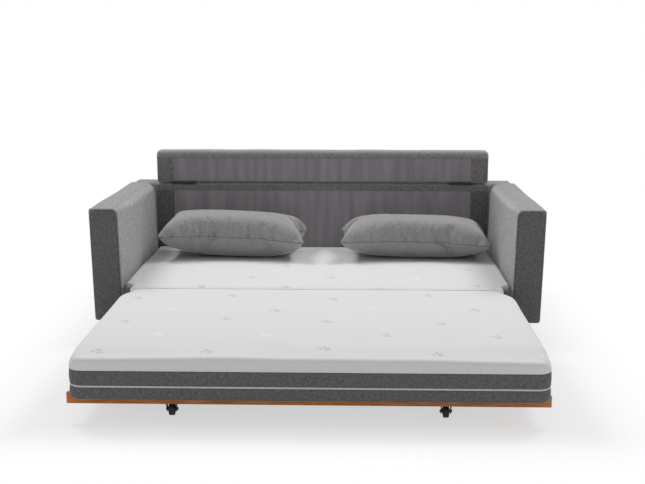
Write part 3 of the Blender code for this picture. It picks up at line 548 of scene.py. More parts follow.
def lattice_shell(levels: Sequence[np.ndarray]) -> tuple[np.ndarray, np.ndarray]:
    """The closed outer surface of a lattice, as squares that face outwards.

    Args:
        levels: The places of the lattice's planes across each of its three axes.

    Returns:
        The points, and the four corners of each square.
    """
    counts = [len(level) for level in levels]
    ring = ((0, 0), (1, 0), (1, 1), (0, 1))
    squares = []
    for axis in range(3):
        first, second = (axis + 1) % 3, (axis + 2) % 3
        u, v = np.meshgrid(np.arange(counts[first] - 1), np.arange(counts[second] - 1), indexing="ij")
        for end in (0, counts[axis] - 1):
            corners = []
            for step_u, step_v in ring if end else ring[::-1]:
                place = [np.full(u.shape, end)] * 3
                place[first] = u + step_u
                place[second] = v + step_v
                corners.append((place[0] * counts[1] + place[1]) * counts[2] + place[2])
            squares.append(np.stack(corners, -1).reshape(-1, 4))
    used, faces = np.unique(np.concatenate(squares), return_inverse=True)
    rest, last = np.divmod(used, counts[2])
    one, two = np.divmod(rest, counts[1])
    return np.stack([levels[0][one], levels[1][two], levels[2][last]], -1), faces.reshape(-1, 4)


@dataclass
class Cloud:
    """The points of a block under way, how far each lies in from the wall, and its share of the height."""

    points: np.ndarray
    inset: np.ndarray
    share: np.ndarray


Shaper = Callable[[Cloud], None]


@dataclass
class PaddedBlock:
    """A block with round edges, as cloth makes it when it is drawn over foam or board.

    It has a high and a low face across one axis, and a wall with round corners between them. The rim is the
    radius of the edge round the high face, and the base rim that of the low face.
    """

    low: Place
    high: Place
    corner: float
    rim: float
    base_rim: float
    step: float = 0.02
    axis: int = 2
    front_rim: float | None = None
    rear_rim: float | None = None
    front_corner: float | None = None
    corner_side: int = -1
    arc_steps: int = 6
    corner_steps: int = 5
    corner_along: Callable[[np.ndarray], np.ndarray] | None = None

    def plan_levels(self, low: float, high: float) -> np.ndarray:
        """Lattice planes across one direction of the plan, close together at its edges.

        Args:
            low: Where the plan starts.
            high: Where it ends.

        Returns:
            The place of each plane.
        """
        rim = max(self.rim, self.base_rim, self.front_rim or 0.0, self.rear_rim or 0.0)
        edge = rim * (1 - np.cos(np.linspace(0, math.pi / 2, self.arc_steps + 1)))
        reach = max(self.corner, rim)
        if reach > rim:
            edge = np.append(edge, np.linspace(rim, reach, self.corner_steps + 1)[1:])
        count = max(1, math.ceil((high - low - 2 * reach) / self.step))
        inner = np.linspace(low + reach, high - reach, count + 1)
        return np.concatenate([low + edge[:-1], inner, (high - edge[:-1])[::-1]])

    def rim_drop(self, sides: np.ndarray, front: np.ndarray) -> np.ndarray:
        """How far the edge round the high face falls, when its radius may differ from side to side.

        Args:
            sides: The distance in from the wall across each direction of the plan.
            front: Whether each point is nearer the low side of the second direction.

        Returns:
            The fall of each point.
        """
        along = np.where(front, self.front_rim or self.rim, self.rear_rim or self.rim)
        radii = np.column_stack([np.full(len(front), self.rim), along])
        shares = np.clip(sides / radii, 0, 50)
        weights = (shares + 0.05) ** -4
        radius = (radii * weights).sum(1) / weights.sum(1)
        left = 1 - np.clip(shares.min(1), 0, 1)
        return radius * (1 - np.sqrt(1 - left**2))

    def corners(self, offset: np.ndarray, half: np.ndarray, height: np.ndarray) -> np.ndarray:
        """Bends the square corners of the plan round.

        Args:
            offset: Each point's place from the middle of the plan.
            half: Half the plan's size.
            height: Each point's place along the axis.

        Returns:
            The places with round corners.
        """
        corner = self.corner_along(height) if self.corner_along else np.full(len(height), self.corner)
        if self.front_corner is not None:
            corner = np.where(offset[:, 1] * self.corner_side > 0, self.front_corner, corner)
        corner = corner[:, None]
        over = np.clip(np.abs(offset) - (half - corner), 0, None) / corner
        ring, least = over.max(1), over.min(1)
        slope = math.pi / 4 * np.divide(least, ring, out=np.zeros(len(ring)), where=ring > 0)
        angle = np.where(over[:, 0] >= over[:, 1], slope, math.pi / 2 - slope)
        bent = np.stack([ring * np.cos(angle), ring * np.sin(angle)], -1)
        turned = np.sign(offset) * (half - corner + corner * bent)
        return np.where((least > 0)[:, None], turned, offset)

    def build(self, name: str, *shapers: Shaper) -> Piece:
        """The block as an object.

        Args:
            name: The piece's name.
            *shapers: Rules that move its points.

        Returns:
            The object.
        """
        order = [(self.axis + 1) % 3, (self.axis + 2) % 3, self.axis]
        low, high = (np.array([place[i] for i in order]) for place in (self.low, self.high))
        rise = max(1, math.ceil((high[2] - low[2]) / self.step))
        plan = [self.plan_levels(low[i], high[i]) for i in range(2)]
        lattice, faces = lattice_shell([*plan, np.linspace(0, 1, rise + 1)])
        middle, half = (low + high)[:2] / 2, (high - low)[:2] / 2
        offset = lattice[:, :2] - middle
        sides = half - np.abs(offset)
        inset = sides.min(1)
        share = lattice[:, 2]
        top = high[2] - self.rim_drop(sides, offset[:, 1] < 0)
        left = np.clip(self.base_rim - inset, 0, None)
        bottom = low[2] + (self.base_rim - np.sqrt(np.clip(self.base_rim**2 - left**2, 0, None)))
        height = bottom + share * (top - bottom)
        points = np.empty_like(lattice)
        points[:, order] = np.column_stack([self.corners(offset, half, height) + middle, height])
        cloud = Cloud(points, inset, share)
        for shaper in shapers:
            shaper(cloud)
        return mesh_piece(name, cloud.points, faces)


def fit_piece(
    piece: Piece,
    finish: Finish,
    body: Body | str | None,
    slot: Slot,
    *replaced: str,
    fill: float | None = None,
) -> None:
    """Dresses a piece and hangs it on the frame.

    Args:
        piece: The finished piece.
        finish: Its finish.
        body: The body that it moves with, or None for cloth held between two.
        slot: Its material slot in the record. Not used.
        *replaced: The solids that it stands for.
        fill: How full its padding is, where it has any. Not used.
    """
    piece.data.materials.clear()
    piece.data.materials.append(finish.material())
    if body is not None:
        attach(piece, body.value if isinstance(body, Body) else body)
    if replaced:
        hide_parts(*replaced)
    LOG.info("%s: %d faces", piece.name, len(piece.data.polygons))


def use_alone(piece: Piece) -> None:
    """Selects one piece and makes it the active one.

    Args:
        piece: The piece.
    """
    bpy.ops.object.select_all(action="DESELECT")
    piece.select_set(True)
    bpy.context.view_layer.objects.active = piece


def apply_modifier(piece: Piece, kind: str, **settings) -> None:
    """Adds a modifier to a piece and applies it.

    Args:
        piece: The piece.
        kind: The modifier's type.
        **settings: The modifier's own properties.
    """
    use_alone(piece)
    modifier = piece.modifiers.new(kind.lower(), kind)
    for name, value in settings.items():
        setattr(modifier, name, value)
    bpy.ops.object.modifier_apply(modifier=modifier.name)


def primitive(name: str, add: Callable, scale: Place = (1, 1, 1), **settings) -> Piece:
    """A cube, cone, cylinder or plane under a name, with its place and size in its mesh.

    Args:
        name: The piece's name.
        add: The operator that makes the shape.
        scale: The shape's stretch along each axis.
        **settings: What the operator takes.

    Returns:
        The piece.
    """
    bpy.ops.object.select_all(action="DESELECT")
    add(**settings)
    piece = bpy.context.object
    piece.name = name
    piece.scale = scale
    bpy.ops.object.transform_apply(location=True, rotation=True, scale=True)
    return piece


def ease_edges(piece: Piece, width: float, segments: int = 3, angle: float | None = None) -> None:
    """Rounds all edges of a hard piece, or those that turn by more than an angle, and smooths its faces.

    Args:
        piece: The piece.
        width: The width of the round.
        segments: How many faces the round has.
        angle: The least turn of an edge that is rounded, in radians. Without one, all are.
    """
    limit = {"limit_method": "NONE"} if angle is None else {"limit_method": "ANGLE", "angle_limit": angle}
    apply_modifier(piece, "BEVEL", width=width, segments=segments, **limit)
    bpy.ops.object.shade_smooth_by_angle(angle=math.radians(35))


def pick_faces(piece: Piece, test: Callable[[bpy.types.MeshPolygon], bool]) -> None:
    """Selects, in edit mode, the faces that pass a test, and nothing else.

    Args:
        piece: The piece, which is the active one.
        test: Says whether a face is picked.
    """
    bpy.ops.object.mode_set(mode="OBJECT")
    for part in (*piece.data.vertices, *piece.data.edges):
        part.select = False
    for face in piece.data.polygons:
        face.select = test(face)
    bpy.ops.object.mode_set(mode="EDIT")
    bpy.ops.mesh.select_mode(type="FACE")


def seam_tube(name: str, path: Sequence[Place], radius: float, closed: bool = True) -> Piece:
    """A thin round piping along a path.

    Args:
        name: The piece's name.
        path: The points that it follows.
        radius: Its radius.
        closed: Whether it joins its own start.

    Returns:
        The piping as a mesh.
    """
    curve = bpy.data.curves.new(name, "CURVE")
    curve.dimensions = "3D"
    curve.bevel_depth = radius
    curve.bevel_resolution = 2
    curve.use_fill_caps = True
    spline = curve.splines.new("POLY")
    spline.points.add(len(path) - 1)
    for point, place in zip(spline.points, path):
        point.co = (*place, 1.0)
    spline.use_cyclic_u = closed
    piece = new_object(name, curve)
    use_alone(piece)
    bpy.ops.object.convert(target="MESH")
    piece.data.shade_smooth()
    return piece


def round_outline(low: Place, high: Place, radius: float) -> list[tuple[float, float]]:
    """A rectangle with round corners, as points on its outline.

    Args:
        low: Its low corner.
        high: Its high corner.
        radius: The radius of its corners.

    Returns:
        The points, from the right-hand end of the upper right corner on.
    """
    steps, straight = 8, 12
    centres = (
        (high[0] - radius, high[1] - radius),
        (low[0] + radius, high[1] - radius),
        (low[0] + radius, low[1] + radius),
        (high[0] - radius, low[1] + radius),
    )
    outline = []
    for index, centre in enumerate(centres):
        for step in range(steps + 1):
            angle = math.pi / 2 * (index + step / steps)
            outline.append((centre[0] + radius * math.cos(angle), centre[1] + radius * math.sin(angle)))
        start = Vector(outline[-1])
        after = centres[(index + 1) % 4]
        angle = math.pi / 2 * (index + 1)
        end = Vector((after[0] + radius * math.cos(angle), after[1] + radius * math.sin(angle)))
        outline += [tuple(start.lerp(end, part / straight)) for part in range(1, straight)]
    return outline


@dataclass
class Arm:
    """One arm: padded cloth drawn over its board and round its front edge, with a front let in, darker as
    painted shade.
    """

    label: str
    side: int
    lean: float = 0.011
    outer_radius: float = 0.012
    front_radius: float = 0.028
    rear_radius: float = 0.060
    round_share: float = 0.45
    swell: float = 0.0025
    slack: float = 0.0005
    slack_length: float = 0.4
    top_rise: float = 0.014
    rear_rise: float = 0.006
    foot_drop: float = 0.006
    edge: float = 0.007
    border: float = 0.0065
    border_depth: float = 0.005
    seam_radius: float = 0.0012
    facing_crown: float = 0.002
    facing_edge: float = 0.03
    facing_slack: float = 0.0006
    facing_slack_length: float = 0.12
    facing_rear_rim: float = 0.0005
    facing_front_rim: float = 0.0022
    fill: float = 0.9

    def __post_init__(self) -> None:
        """Reads the arm's places from the frame."""
        low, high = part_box(f"{self.label}_arm_cover")
        near, far = sorted((abs(low.x), abs(high.x)))
        across = sorted((self.side * near, self.side * (far - self.lean)))
        self.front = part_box(f"{self.label}_arm_facing")[0].y
        self.start = self.front + self.border_depth
        self.end = high.y
        self.foot = low.z
        self.low = (across[0], low.z - self.foot_drop)
        self.high = (across[1], high.z)

    def shares(self, points: np.ndarray) -> tuple[np.ndarray, np.ndarray]:
        """How far back and how far up the arm each point lies."""
        length = (points[:, 1] - self.start) / (self.end - self.start)
        return length, (points[:, 2] - self.low[1]) / (self.high[1] - self.low[1])

    def tilt(self, cloud: Cloud) -> None:
        """Leans the arm outwards as it rises."""
        rise = (cloud.points[:, 2] - self.foot) / (self.high[1] - self.foot)
        cloud.points[:, 0] += self.side * self.lean * rise

    def lift(self, cloud: Cloud) -> None:
        """Raises the padded top, most of all in front.

        Args:
            cloud: The block's points.
        """
        length, rise = self.shares(cloud.points)
        fall = ease(length, 0.1, 0.65) * (self.top_rise - self.rear_rise)
        cloud.points[:, 2] += ease(rise, 0.75, 1.0) * (self.top_rise - fall)

    def pad(self, cloud: Cloud) -> None:
        """Swells the padded top and flanks, and lets the cloth lie a little unevenly.

        Args:
            cloud: The block's points.
        """
        points = cloud.points
        length, rise = self.shares(points)
        along, upright = (np.sin(np.clip(share, 0, 1) * math.pi) ** 0.6 for share in (length, rise))
        middle, half = (self.low[0] + self.high[0]) / 2, (self.high[0] - self.low[0]) / 2
        across = (points[:, 0] - middle) / half
        flank = np.clip(np.abs(across) - 0.7, 0, 0.3) / 0.3
        uneven = ripples(points, self.slack_length, self.slack, 11 + self.side)
        points[:, 0] += np.sign(across) * flank * along * (self.swell * upright + uneven)
        points[:, 2] += ease(rise, 0.8, 1.0) * along * (self.swell * (1 - across**2) + uneven)

    def crown(self, cloud: Cloud) -> None:
        """Bulges the facing forwards.

        Args:
            cloud: The block's points.
        """
        bulge = ease(cloud.inset, 0.0, self.facing_edge) * (1 - cloud.share)
        uneven = ripples(cloud.points, self.facing_slack_length, self.facing_slack, 5 + self.side)
        cloud.points[:, 1] -= bulge * (self.facing_crown + uneven)

    def round_along(self, place: np.ndarray) -> np.ndarray:
        """The radius of the arm's inner top edge, which grows towards the back."""
        share = ease((place - self.start) / (self.end - self.start), 0.0, self.round_share)
        return self.front_radius + share * (self.rear_radius - self.front_radius)

    def build(self) -> None:
        """Builds the padded cover, the front and the dark cord of painted seam shadow round it."""
        low, high, inset = self.low, self.high, self.border
        outer = {"axis": 1, "front_corner": self.outer_radius, "corner_side": self.side}
        cover = PaddedBlock(
            (low[0], self.start, low[1]),
            (high[0], self.end, high[1]),
            self.rear_radius,
            self.edge,
            self.edge,
            corner_along=self.round_along,
            corner_steps=9,
            **outer,
        ).build(f"{self.label}_arm_upholstery", self.pad, self.lift, self.tilt)
        # The cover takes the lighter copy of the cloth: painted light.
        fit_piece(cover, LIT_COVER_CLOTH, Body.SOFA, Slot.GREY, f"{self.label}_arm_cover", fill=self.fill)
        facing = PaddedBlock(
            (low[0] + inset, self.front + self.facing_crown, low[1] + inset),
            (high[0] - inset, self.start - FIT, high[1] - inset),
            self.front_radius,
            self.facing_rear_rim,
            self.facing_front_rim,
            **outer,
        ).build(f"{self.label}_arm_front", self.crown, self.lift, self.tilt)
        # The front takes the darker copy of the cloth: painted shade.
        fit_piece(facing, SHADED_FRONT_CLOTH, Body.SOFA, Slot.DARK, f"{self.label}_arm_facing", fill=self.fill)
        self.seam()

    def seam(self) -> None:
        """A dark cord in the groove round the arm's front, as painted shadow in the seam."""
        inset = self.border - self.seam_radius / 2
        low, high = [place + inset for place in self.low], [place - inset for place in self.high]
        outline = round_outline(low, high, self.front_radius)
        points = np.array([(x, self.start - self.seam_radius / 2, z) for x, z in outline])
        cloud = Cloud(points, np.zeros(len(points)), np.zeros(len(points)))
        self.lift(cloud)
        self.tilt(cloud)
        piece = seam_tube(f"{self.label}_front_seam_shadow", cloud.points.tolist(), self.seam_radius)
        fit_piece(piece, SEAM_SHADOW_CORD, Body.SOFA, Slot.DARK)


@dataclass
class BaseFront:
    """The cloth-covered end of the base in the notch between an arm and the mattress."""

    label: str
    edge: float = 0.004
    slack: float = 0.001
    slack_length: float = 0.03
    slack_start: float = 0.008
    step: float = 0.006

    def wrinkle(self, cloud: Cloud) -> None:
        """Lets the cloth lie a little unevenly."""
        slack = np.abs(ripples(cloud.points, self.slack_length, self.slack, 3))
        cloud.points[:, 1] -= ease(cloud.inset, 0.0, self.slack_start) * slack

    def build(self) -> None:
        """Builds the covered block."""
        node = f"{self.label}_base_facing"
        block = PaddedBlock(*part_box(node), self.edge, self.edge, self.edge, self.step)
        piece = block.build(f"{self.label}_base_front", self.wrinkle)
        # The block takes the darker copy of the cloth: painted shade.
        fit_piece(piece, SHADED_FRONT_CLOTH, Body.SOFA, Slot.DARK, node, fill=0.9)


@dataclass
class LinedFront:
    """What the low back and the flip panel share: a padded body with a cloth border and a lining let in."""

    prefix: str
    body: Body
    corner: float
    rim: float
    border: float = 0.003
    border_edge: float = 0.0012
    slack: float = 0.0007
    slack_length: float = 0.30
    slack_edge: float = 0.1
    crown_edge: float = 0.04
    rear_edge: float = 0.02
    lap: float = 0.003
    crown: float = 0.0
    border_gap: float = 0.0001
    lining_edge: float = 0.0002
    lining_corner: float = 0.002
    lining_slack: float = 0.0005
    lining_slack_length: float = 0.11
    lining_held: float = 0.05
    strip_edge: float = 0.02
    strip_slack_length: float = 0.035

    def __post_init__(self) -> None:
        """Reads its places from the frame."""
        self.low, self.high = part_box(f"{self.prefix}_cover")
        self.lining_low, self.lining_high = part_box(f"{self.prefix}_lining")

    def shell(self) -> None:
        """Builds the padded body."""

        def settle(cloud: Cloud) -> None:
            """Crowns the top and lets the cloth lie a little unevenly.

            Args:
                cloud: The block's points.
            """
            uneven = ripples(cloud.points, self.slack_length, self.slack, len(self.prefix))
            top = ease(cloud.points[:, 2], self.high.z - self.crown_edge, self.high.z)
            cloud.points[:, 2] += (uneven + self.crown) * top
            rear = ease(cloud.points[:, 1], self.high.y - self.rear_edge, self.high.y)
            rear *= ease(cloud.inset, 0.0, self.slack_edge)
            cloud.points[:, 1] += rear * (uneven - self.slack)

        block = PaddedBlock(self.low, self.high, self.corner, self.rim, self.rim, axis=1, step=0.022)
        piece = block.build(f"{self.prefix}_upholstery", settle)
        # The body takes the lighter copy of the cloth: painted light.
        fit_piece(piece, LIT_COVER_CLOTH, self.body, Slot.GREY, f"{self.prefix}_cover", fill=0.9)

    def lining(self) -> None:
        """Builds the lining cloth, stretched over the front."""
        low, high, edge = self.lining_low, self.lining_high, self.lining_edge

        def stretch(cloud: Cloud) -> None:
            """Leaves faint upright waves in the stretched cloth.

            Args:
                cloud: The block's points.
            """
            tall = cloud.points * (1, 1, 0.35)
            uneven = ripples(tall, self.lining_slack_length, self.lining_slack, 8)
            cloud.points[:, 1] += ease(cloud.inset, 0.0, self.lining_held) * uneven

        coarse = {"step": 0.016, "arc_steps": 1, "corner_steps": 1}
        block = PaddedBlock(low, high, self.lining_corner, edge, edge, axis=1, **coarse)
        piece = block.build(f"{self.prefix}_lining_cloth", stretch)
        fit_piece(piece, LINING, self.body, Slot.LINING, f"{self.prefix}_lining")

    def border_strip(self, name: str, low: Place, high: Place, seed: int, finish: Finish) -> None:
        """One strip of cloth on the front, laid over the edge of the lining.

        Args:
            name: The last part of the piece's name.
            low: Its low corner across the front.
            high: Its high corner across the front.
            seed: Picks its wrinkles.
            finish: Its cloth.
        """

        def wrinkle(cloud: Cloud) -> None:
            """Lets the strip lie a little unevenly.

            Args:
                cloud: The block's points.
            """
            front = ease(cloud.inset, 0.0, self.strip_edge) * (1 - cloud.share)
            slack = ripples(cloud.points, self.strip_slack_length, self.slack * 0.7, seed)
            cloud.points[:, 1] -= front * np.abs(slack)

        piece = PaddedBlock(
            (low[0], self.low.y - self.border, low[1]),
            (high[0], self.low.y - self.border_gap, high[1]),
            self.border,
            self.lining_edge,
            self.border_edge,
            axis=1,
            step=0.009,
            arc_steps=3,
            corner_steps=1,
        ).build(f"{self.prefix}_{name}", wrinkle)
        fit_piece(piece, finish, self.body, Slot.DARK, fill=0.8)

    def side_borders(self, half: float, floor: float, ceiling: float, seed: int, finish: Finish) -> None:
        """The strips of cloth at both ends of the lining, out to half the width.

        Args:
            half: How far out from the middle they reach.
            floor: The height of their lower ends.
            ceiling: The height of their upper ends.
            seed: Picks the left one's wrinkles, and the next number the right one's.
            finish: Their cloth.
        """
        inner = {"left": self.lining_low.x + self.lap, "right": self.lining_high.x - self.lap}
        for step, (label, side) in enumerate(SIDES.items()):
            ends = sorted((side * half, inner[label]))
            self.border_strip(f"{label}_border", (ends[0], floor), (ends[1], ceiling), seed + step, finish)


@dataclass
class LowBack(LinedFront):
    """The low back between and behind the arms."""

    band_top: float = 0.008
    seat_lap: float = 0.04

    def build(self) -> None:
        """Builds the body, lining and borders of the low back."""
        self.shell()
        self.lining()
        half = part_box("panel_cover")[1].x - 2 * FIT
        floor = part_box("mattress_head")[1].z - self.seat_lap
        ceiling = self.lining_high.z - self.lap
        # The top band takes the half-shaded copy of the cloth and the side borders the shaded copy: painted
        # shade.
        self.border_strip("top_band", (-half, ceiling), (half, self.high.z - self.band_top), 21, HALF_SHADED_BORDER_CLOTH)
        self.side_borders(half, floor, ceiling - FIT, 22, SHADED_FRONT_CLOTH)


@dataclass
class FlipPanel(LinedFront):
    """The panel that stands on the low back and turns down in front of it."""

    border_side: float = 0.006
    border_bottom: float = 0.004
    seam_side: float = 0.002

    def build(self) -> None:
        """Builds the body, lining, borders and seam of the panel."""
        self.shell()
        self.lining()
        top = self.lining_high.z
        half = self.high.x - self.border_side
        # The borders take the half-shaded copy of the cloth: painted shade.
        self.side_borders(half, self.low.z + self.border_bottom, top - FIT, 31, HALF_SHADED_BORDER_CLOTH)
        reach = self.high.x - self.seam_side
        across = np.linspace(-reach, reach, 61)
        path = [(x, self.low.y - self.border / 2, top + self.border / 3) for x in across.tolist()]
        piping = seam_tube(f"{self.prefix}_top_piping", path, self.border / 2, closed=False)
        fit_piece(piping, SEAM_CLOTH, self.body, Slot.GREY)


@dataclass
class Mattress:
    """What the mattress sections share: white knitted ticking above a grey band, with a zip in the band."""

    ticking_seam: float = 0.216
    zip_low: float = 0.1530
    zip_high: float = 0.1598
    zip_inset: float = 0.001
    seam_round: float = 0.003
    bulge: float = 0.001
    slack: float = 0.0008
    slack_length: float = 0.3
    fill: float = 0.95
    body: Body = Body.SOFA

    def ticking(self, name: str, node: str, block: PaddedBlock, *shapers: Shaper) -> None:
        """Builds a white top, which stands for a solid."""
        fit_piece(block.build(name, *shapers), KNIT, self.body, Slot.KNIT, node, fill=self.fill)

    def band(
        self,
        name: str,
        low: Place,
        high: Place,
        corner: float,
        base_rim: float,
        *shapers: Shaper,
        front_corner: float | None = None,
        replaced: Sequence[str] = (),
    ) -> Piece:
        """A grey band of the wall, round at its two seams.

        Args:
            name: The piece's name.
            low: Its lowest corner.
            high: Its highest corner.
            corner: Its plan radius at the back, and at the front too if no other is given.
            base_rim: The radius of its lower edge.
            *shapers: Further rules that move its points.
            front_corner: Its plan radius at the front.
            replaced: The solids that it stands for.

        Returns:
            The band.
        """

        def swell(cloud: Cloud) -> None:
            """Swells the wall between its seams.

            Args:
                cloud: The block's points.
            """
            plan = cloud.points[:, :2]
            out = plan - np.clip(plan, np.array(low[:2]) + corner, np.array(high[:2]) - corner)
            reach = np.linalg.norm(out, axis=1, keepdims=True)
            wall = ease(cloud.share, 0.0, 0.3) * (1 - ease(cloud.share, 0.7, 1.0))
            uneven = ripples(cloud.points, self.slack_length, self.slack, 41)
            push = wall * (cloud.inset < 1e-6) * (self.bulge + uneven)
            plan += np.divide(out, reach, out=np.zeros_like(out), where=reach > 0) * push[:, None]

        grid = {"step": 0.024, "arc_steps": 4, "corner_steps": 12}
        block = PaddedBlock(low, high, corner, self.seam_round, base_rim, front_corner=front_corner, **grid)
        piece = block.build(name, swell, *shapers)
        fit_piece(piece, BAND_CLOTH, self.body, Slot.DARK, *replaced, fill=self.fill)
        return piece


@dataclass
class RearMattress(Mattress):
    """The head and seat sections, which stay in the sofa, and the round edge that the fold cloth leaves."""

    corner: float = 0.024
    tongue_corner: float = 0.010
    top_round: float = 0.012
    roll_round: float = 0.060
    notch_start: float = 0.030
    notch_end: float = -0.002
    step_round: float = 0.005
    flank_start: float = 0.004
    head_sink: float = 0.003
    crown: float = 0.002
    sink: float = 0.003
    sink_length: float = 0.35
    sink_edge: float = 0.15
    pull: float = 0.0022
    pull_start: float = 0.03
    pull_reach: float = 0.13
    pull_folds: int = 9

    def __post_init__(self) -> None:
        """Reads the sections' places from the frame."""
        self.head, self.seat, self.roll = (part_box(f"mattress_{part}") for part in ("head", "seat", "roll"))
        self.half, self.narrow = self.seat[1].x, self.roll[1].x

    def settle(self, cloud: Cloud) -> None:
        """Lets the top sink a little, unevenly.

        Args:
            cloud: The block's points.
        """
        top, inner = cloud.share > 0.99, ease(cloud.inset, 0.0, self.sink_edge)
        uneven = ripples(cloud.points[:, :2], self.sink_length, self.sink / 3, 51)
        cloud.points[:, 2] += top * inner * (uneven - self.crown / 2)

    def tongue(self, cloud: Cloud) -> None:
        """Narrows the seat in front of the arms."""
        share = 1 - ease(cloud.points[:, 1], self.notch_end, self.notch_start)
        cloud.points[:, 0] *= 1 - share * (1 - self.narrow / self.half)

    def strain(self, cloud: Cloud) -> None:
        """Draws the folds that fan out from the cloth's inner corners.

        Args:
            cloud: The block's points.
        """
        points = cloud.points
        for side in SIDES.values():
            away = points[:, :2] - np.array((side * self.narrow, self.notch_end))
            turn = np.arctan2(away[:, 1], -side * away[:, 0])
            reach = np.linalg.norm(away, axis=1)
            fade = np.exp(-((reach / self.pull_reach) ** 2)) * ease(reach, 0.0, self.pull_start)
            fade *= cloud.share > 0.99
            points[:, 2] += fade * self.pull * np.sin(turn * self.pull_folds + side)

    def build(self) -> None:
        """Builds the white tops and the grey bands of both sections."""
        (head_low, head_high), (seat_low, seat_high), (roll_low, _) = self.head, self.seat, self.roll
        seam, half, narrow = self.ticking_seam, self.half, self.narrow
        rounds = (self.corner, self.top_round, self.seam_round)
        high = (head_high.x, head_high.y, head_high.z - self.head_sink)
        head = PaddedBlock((head_low.x, head_low.y, seam + FIT), high, *rounds, front_rim=self.step_round)
        self.ticking("mattress_head_top", "mattress_head", head, self.settle)
        high = (head_high.x, head_high.y, seam)
        self.band("mattress_head_base", head_low, high, self.corner, self.top_round)
        low, high = (-half, roll_low.y, seam + FIT), (half, seat_high.y, seat_high.z)
        rims = {"front_rim": self.roll_round, "rear_rim": self.step_round}
        seat = PaddedBlock(low, high, *rounds, step=0.014, arc_steps=9, **rims)
        self.ticking("mattress_seat_top", "mattress_seat", seat, self.settle, self.tongue, self.strain)
        low, high = (-narrow, roll_low.y, seat_low.z), (narrow, seat_high.y, seam)
        replaced = ["mattress_roll"]
        self.band("mattress_seat_base", low, high, self.tongue_corner, self.top_round, replaced=replaced)
        low = (-half, seat_low.y + self.flank_start, seat_low.z + FIT)
        high = (half, seat_high.y - FIT, seam - FIT)
        self.band("mattress_seat_flanks", low, high, self.corner, self.top_round)


@dataclass
class FrontMattress(Mattress):
    """The section on the pull-out frame: white top, grey wall in two bands, and the white zip between."""

    corner: float = 0.145
    foot_corner: float = 0.055
    off_middle: float = 0.005
    top_round: float = 0.036
    foot_round: float = 0.016
    fold_round: float = 0.016
    bottom_round: float = 0.012
    crown: float = 0.004
    uneven: float = 0.0010
    uneven_length: float = 0.34
    uneven_edge: float = 0.2
    fold_rise: float = 0.006
    fold_length: float = 0.30
    foot_height: float = 0.269
    foot_slope: float = -0.0026
    foot_bow: float = -0.010
    wave: float = 0.0015
    wave_length: float = 0.5
    foot_length: float = 0.16
    tape_rim: float = 0.001
    sag: float = 0.0105
    sag_start: float = 0.012
    pressed: float = 0.66
    board_clearance: float = 0.0035
    body: Body = Body.FRONT

    def __post_init__(self) -> None:
        """Reads the section's place from the frame."""
        self.low, self.high = (place + Vector((self.off_middle, 0, 0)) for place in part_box("mattress_front"))
        self.board_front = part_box("front_board")[0].y

    def shape_top(self, cloud: Cloud) -> None:
        """Crowns the top, lets its foot end fall in a bow and its fold end rise.

        Args:
            cloud: The block's points.
        """
        points, low, high = cloud.points, self.low, self.high
        across = points[:, 0] / high.x
        along = (points[:, 1] - (low.y + high.y) / 2) / ((high.y - low.y) / 2)
        crown = self.crown * (1 - across**2) * (1 - along**2)
        uneven = ripples(points[:, :2], self.uneven_length, self.uneven, 63)
        uneven *= ease(cloud.inset, 0.0, self.uneven_edge)
        foot = 1 - ease(points[:, 1], low.y + self.foot_round, low.y + self.foot_length)
        edge = self.foot_height + self.foot_slope * points[:, 0] + self.foot_bow * points[:, 0] ** 2
        edge += ripples(points[:, :1], self.wave_length, self.wave, 61)
        drop = foot * (high.z - self.crown - edge)
        rise = self.fold_rise * ease(points[:, 1], high.y - self.fold_length, high.y)
        points[:, 2] += cloud.share * (rise - drop) + (cloud.share > 0.99) * (crown + uneven)

    def hang(self, cloud: Cloud) -> None:
        """Lets the lower band sag where it stands out past the front board.

        Args:
            cloud: The block's points.
        """
        start, end = (self.board_front - gap for gap in (self.sag_start, self.board_clearance))
        beyond = 1 - ease(cloud.points[:, 1], start, end)
        cloud.points[:, 2] -= (1 - cloud.share) ** 0.7 * self.sag * beyond

    def build(self) -> None:
        """Builds the white top, the two bands and the zip."""
        low, high, corners = self.low, self.high, {"front_corner": self.foot_corner}
        top = PaddedBlock(
            (low.x, low.y, self.ticking_seam + FIT),
            (high.x, high.y, high.z - self.crown),
            self.corner,
            self.top_round,
            self.seam_round,
            step=0.013,
            front_rim=self.foot_round,
            rear_rim=self.fold_round,
            arc_steps=9,
            corner_steps=6,
            **corners,
        )
        self.ticking("front_mattress_top", "mattress_front", top, self.shape_top)
        base, ceiling = (low.x, low.y, self.zip_high + FIT), (high.x, high.y, self.ticking_seam)
        self.band("front_upper_band", base, ceiling, self.corner, self.seam_round, **corners)
        ceiling = (high.x, high.y, self.zip_low - FIT)
        rounds = (self.corner, self.bottom_round)
        lower = self.band("front_lower_band", low, ceiling, *rounds, self.hang, **corners)
        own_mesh(lower)
        inset = self.zip_inset
        tape = PaddedBlock(
            (low.x + inset, low.y + inset, self.zip_low),
            (high.x - inset, high.y - inset, self.zip_high),
            self.corner - inset,
            self.tape_rim,
            self.tape_rim,
            step=0.03,
            front_corner=self.foot_corner - inset,
            arc_steps=2,
            corner_steps=16,
        ).build("front_zip_tape")
        fit_piece(tape, ZIP_TAPE, self.body, Slot.KNIT, fill=self.fill)


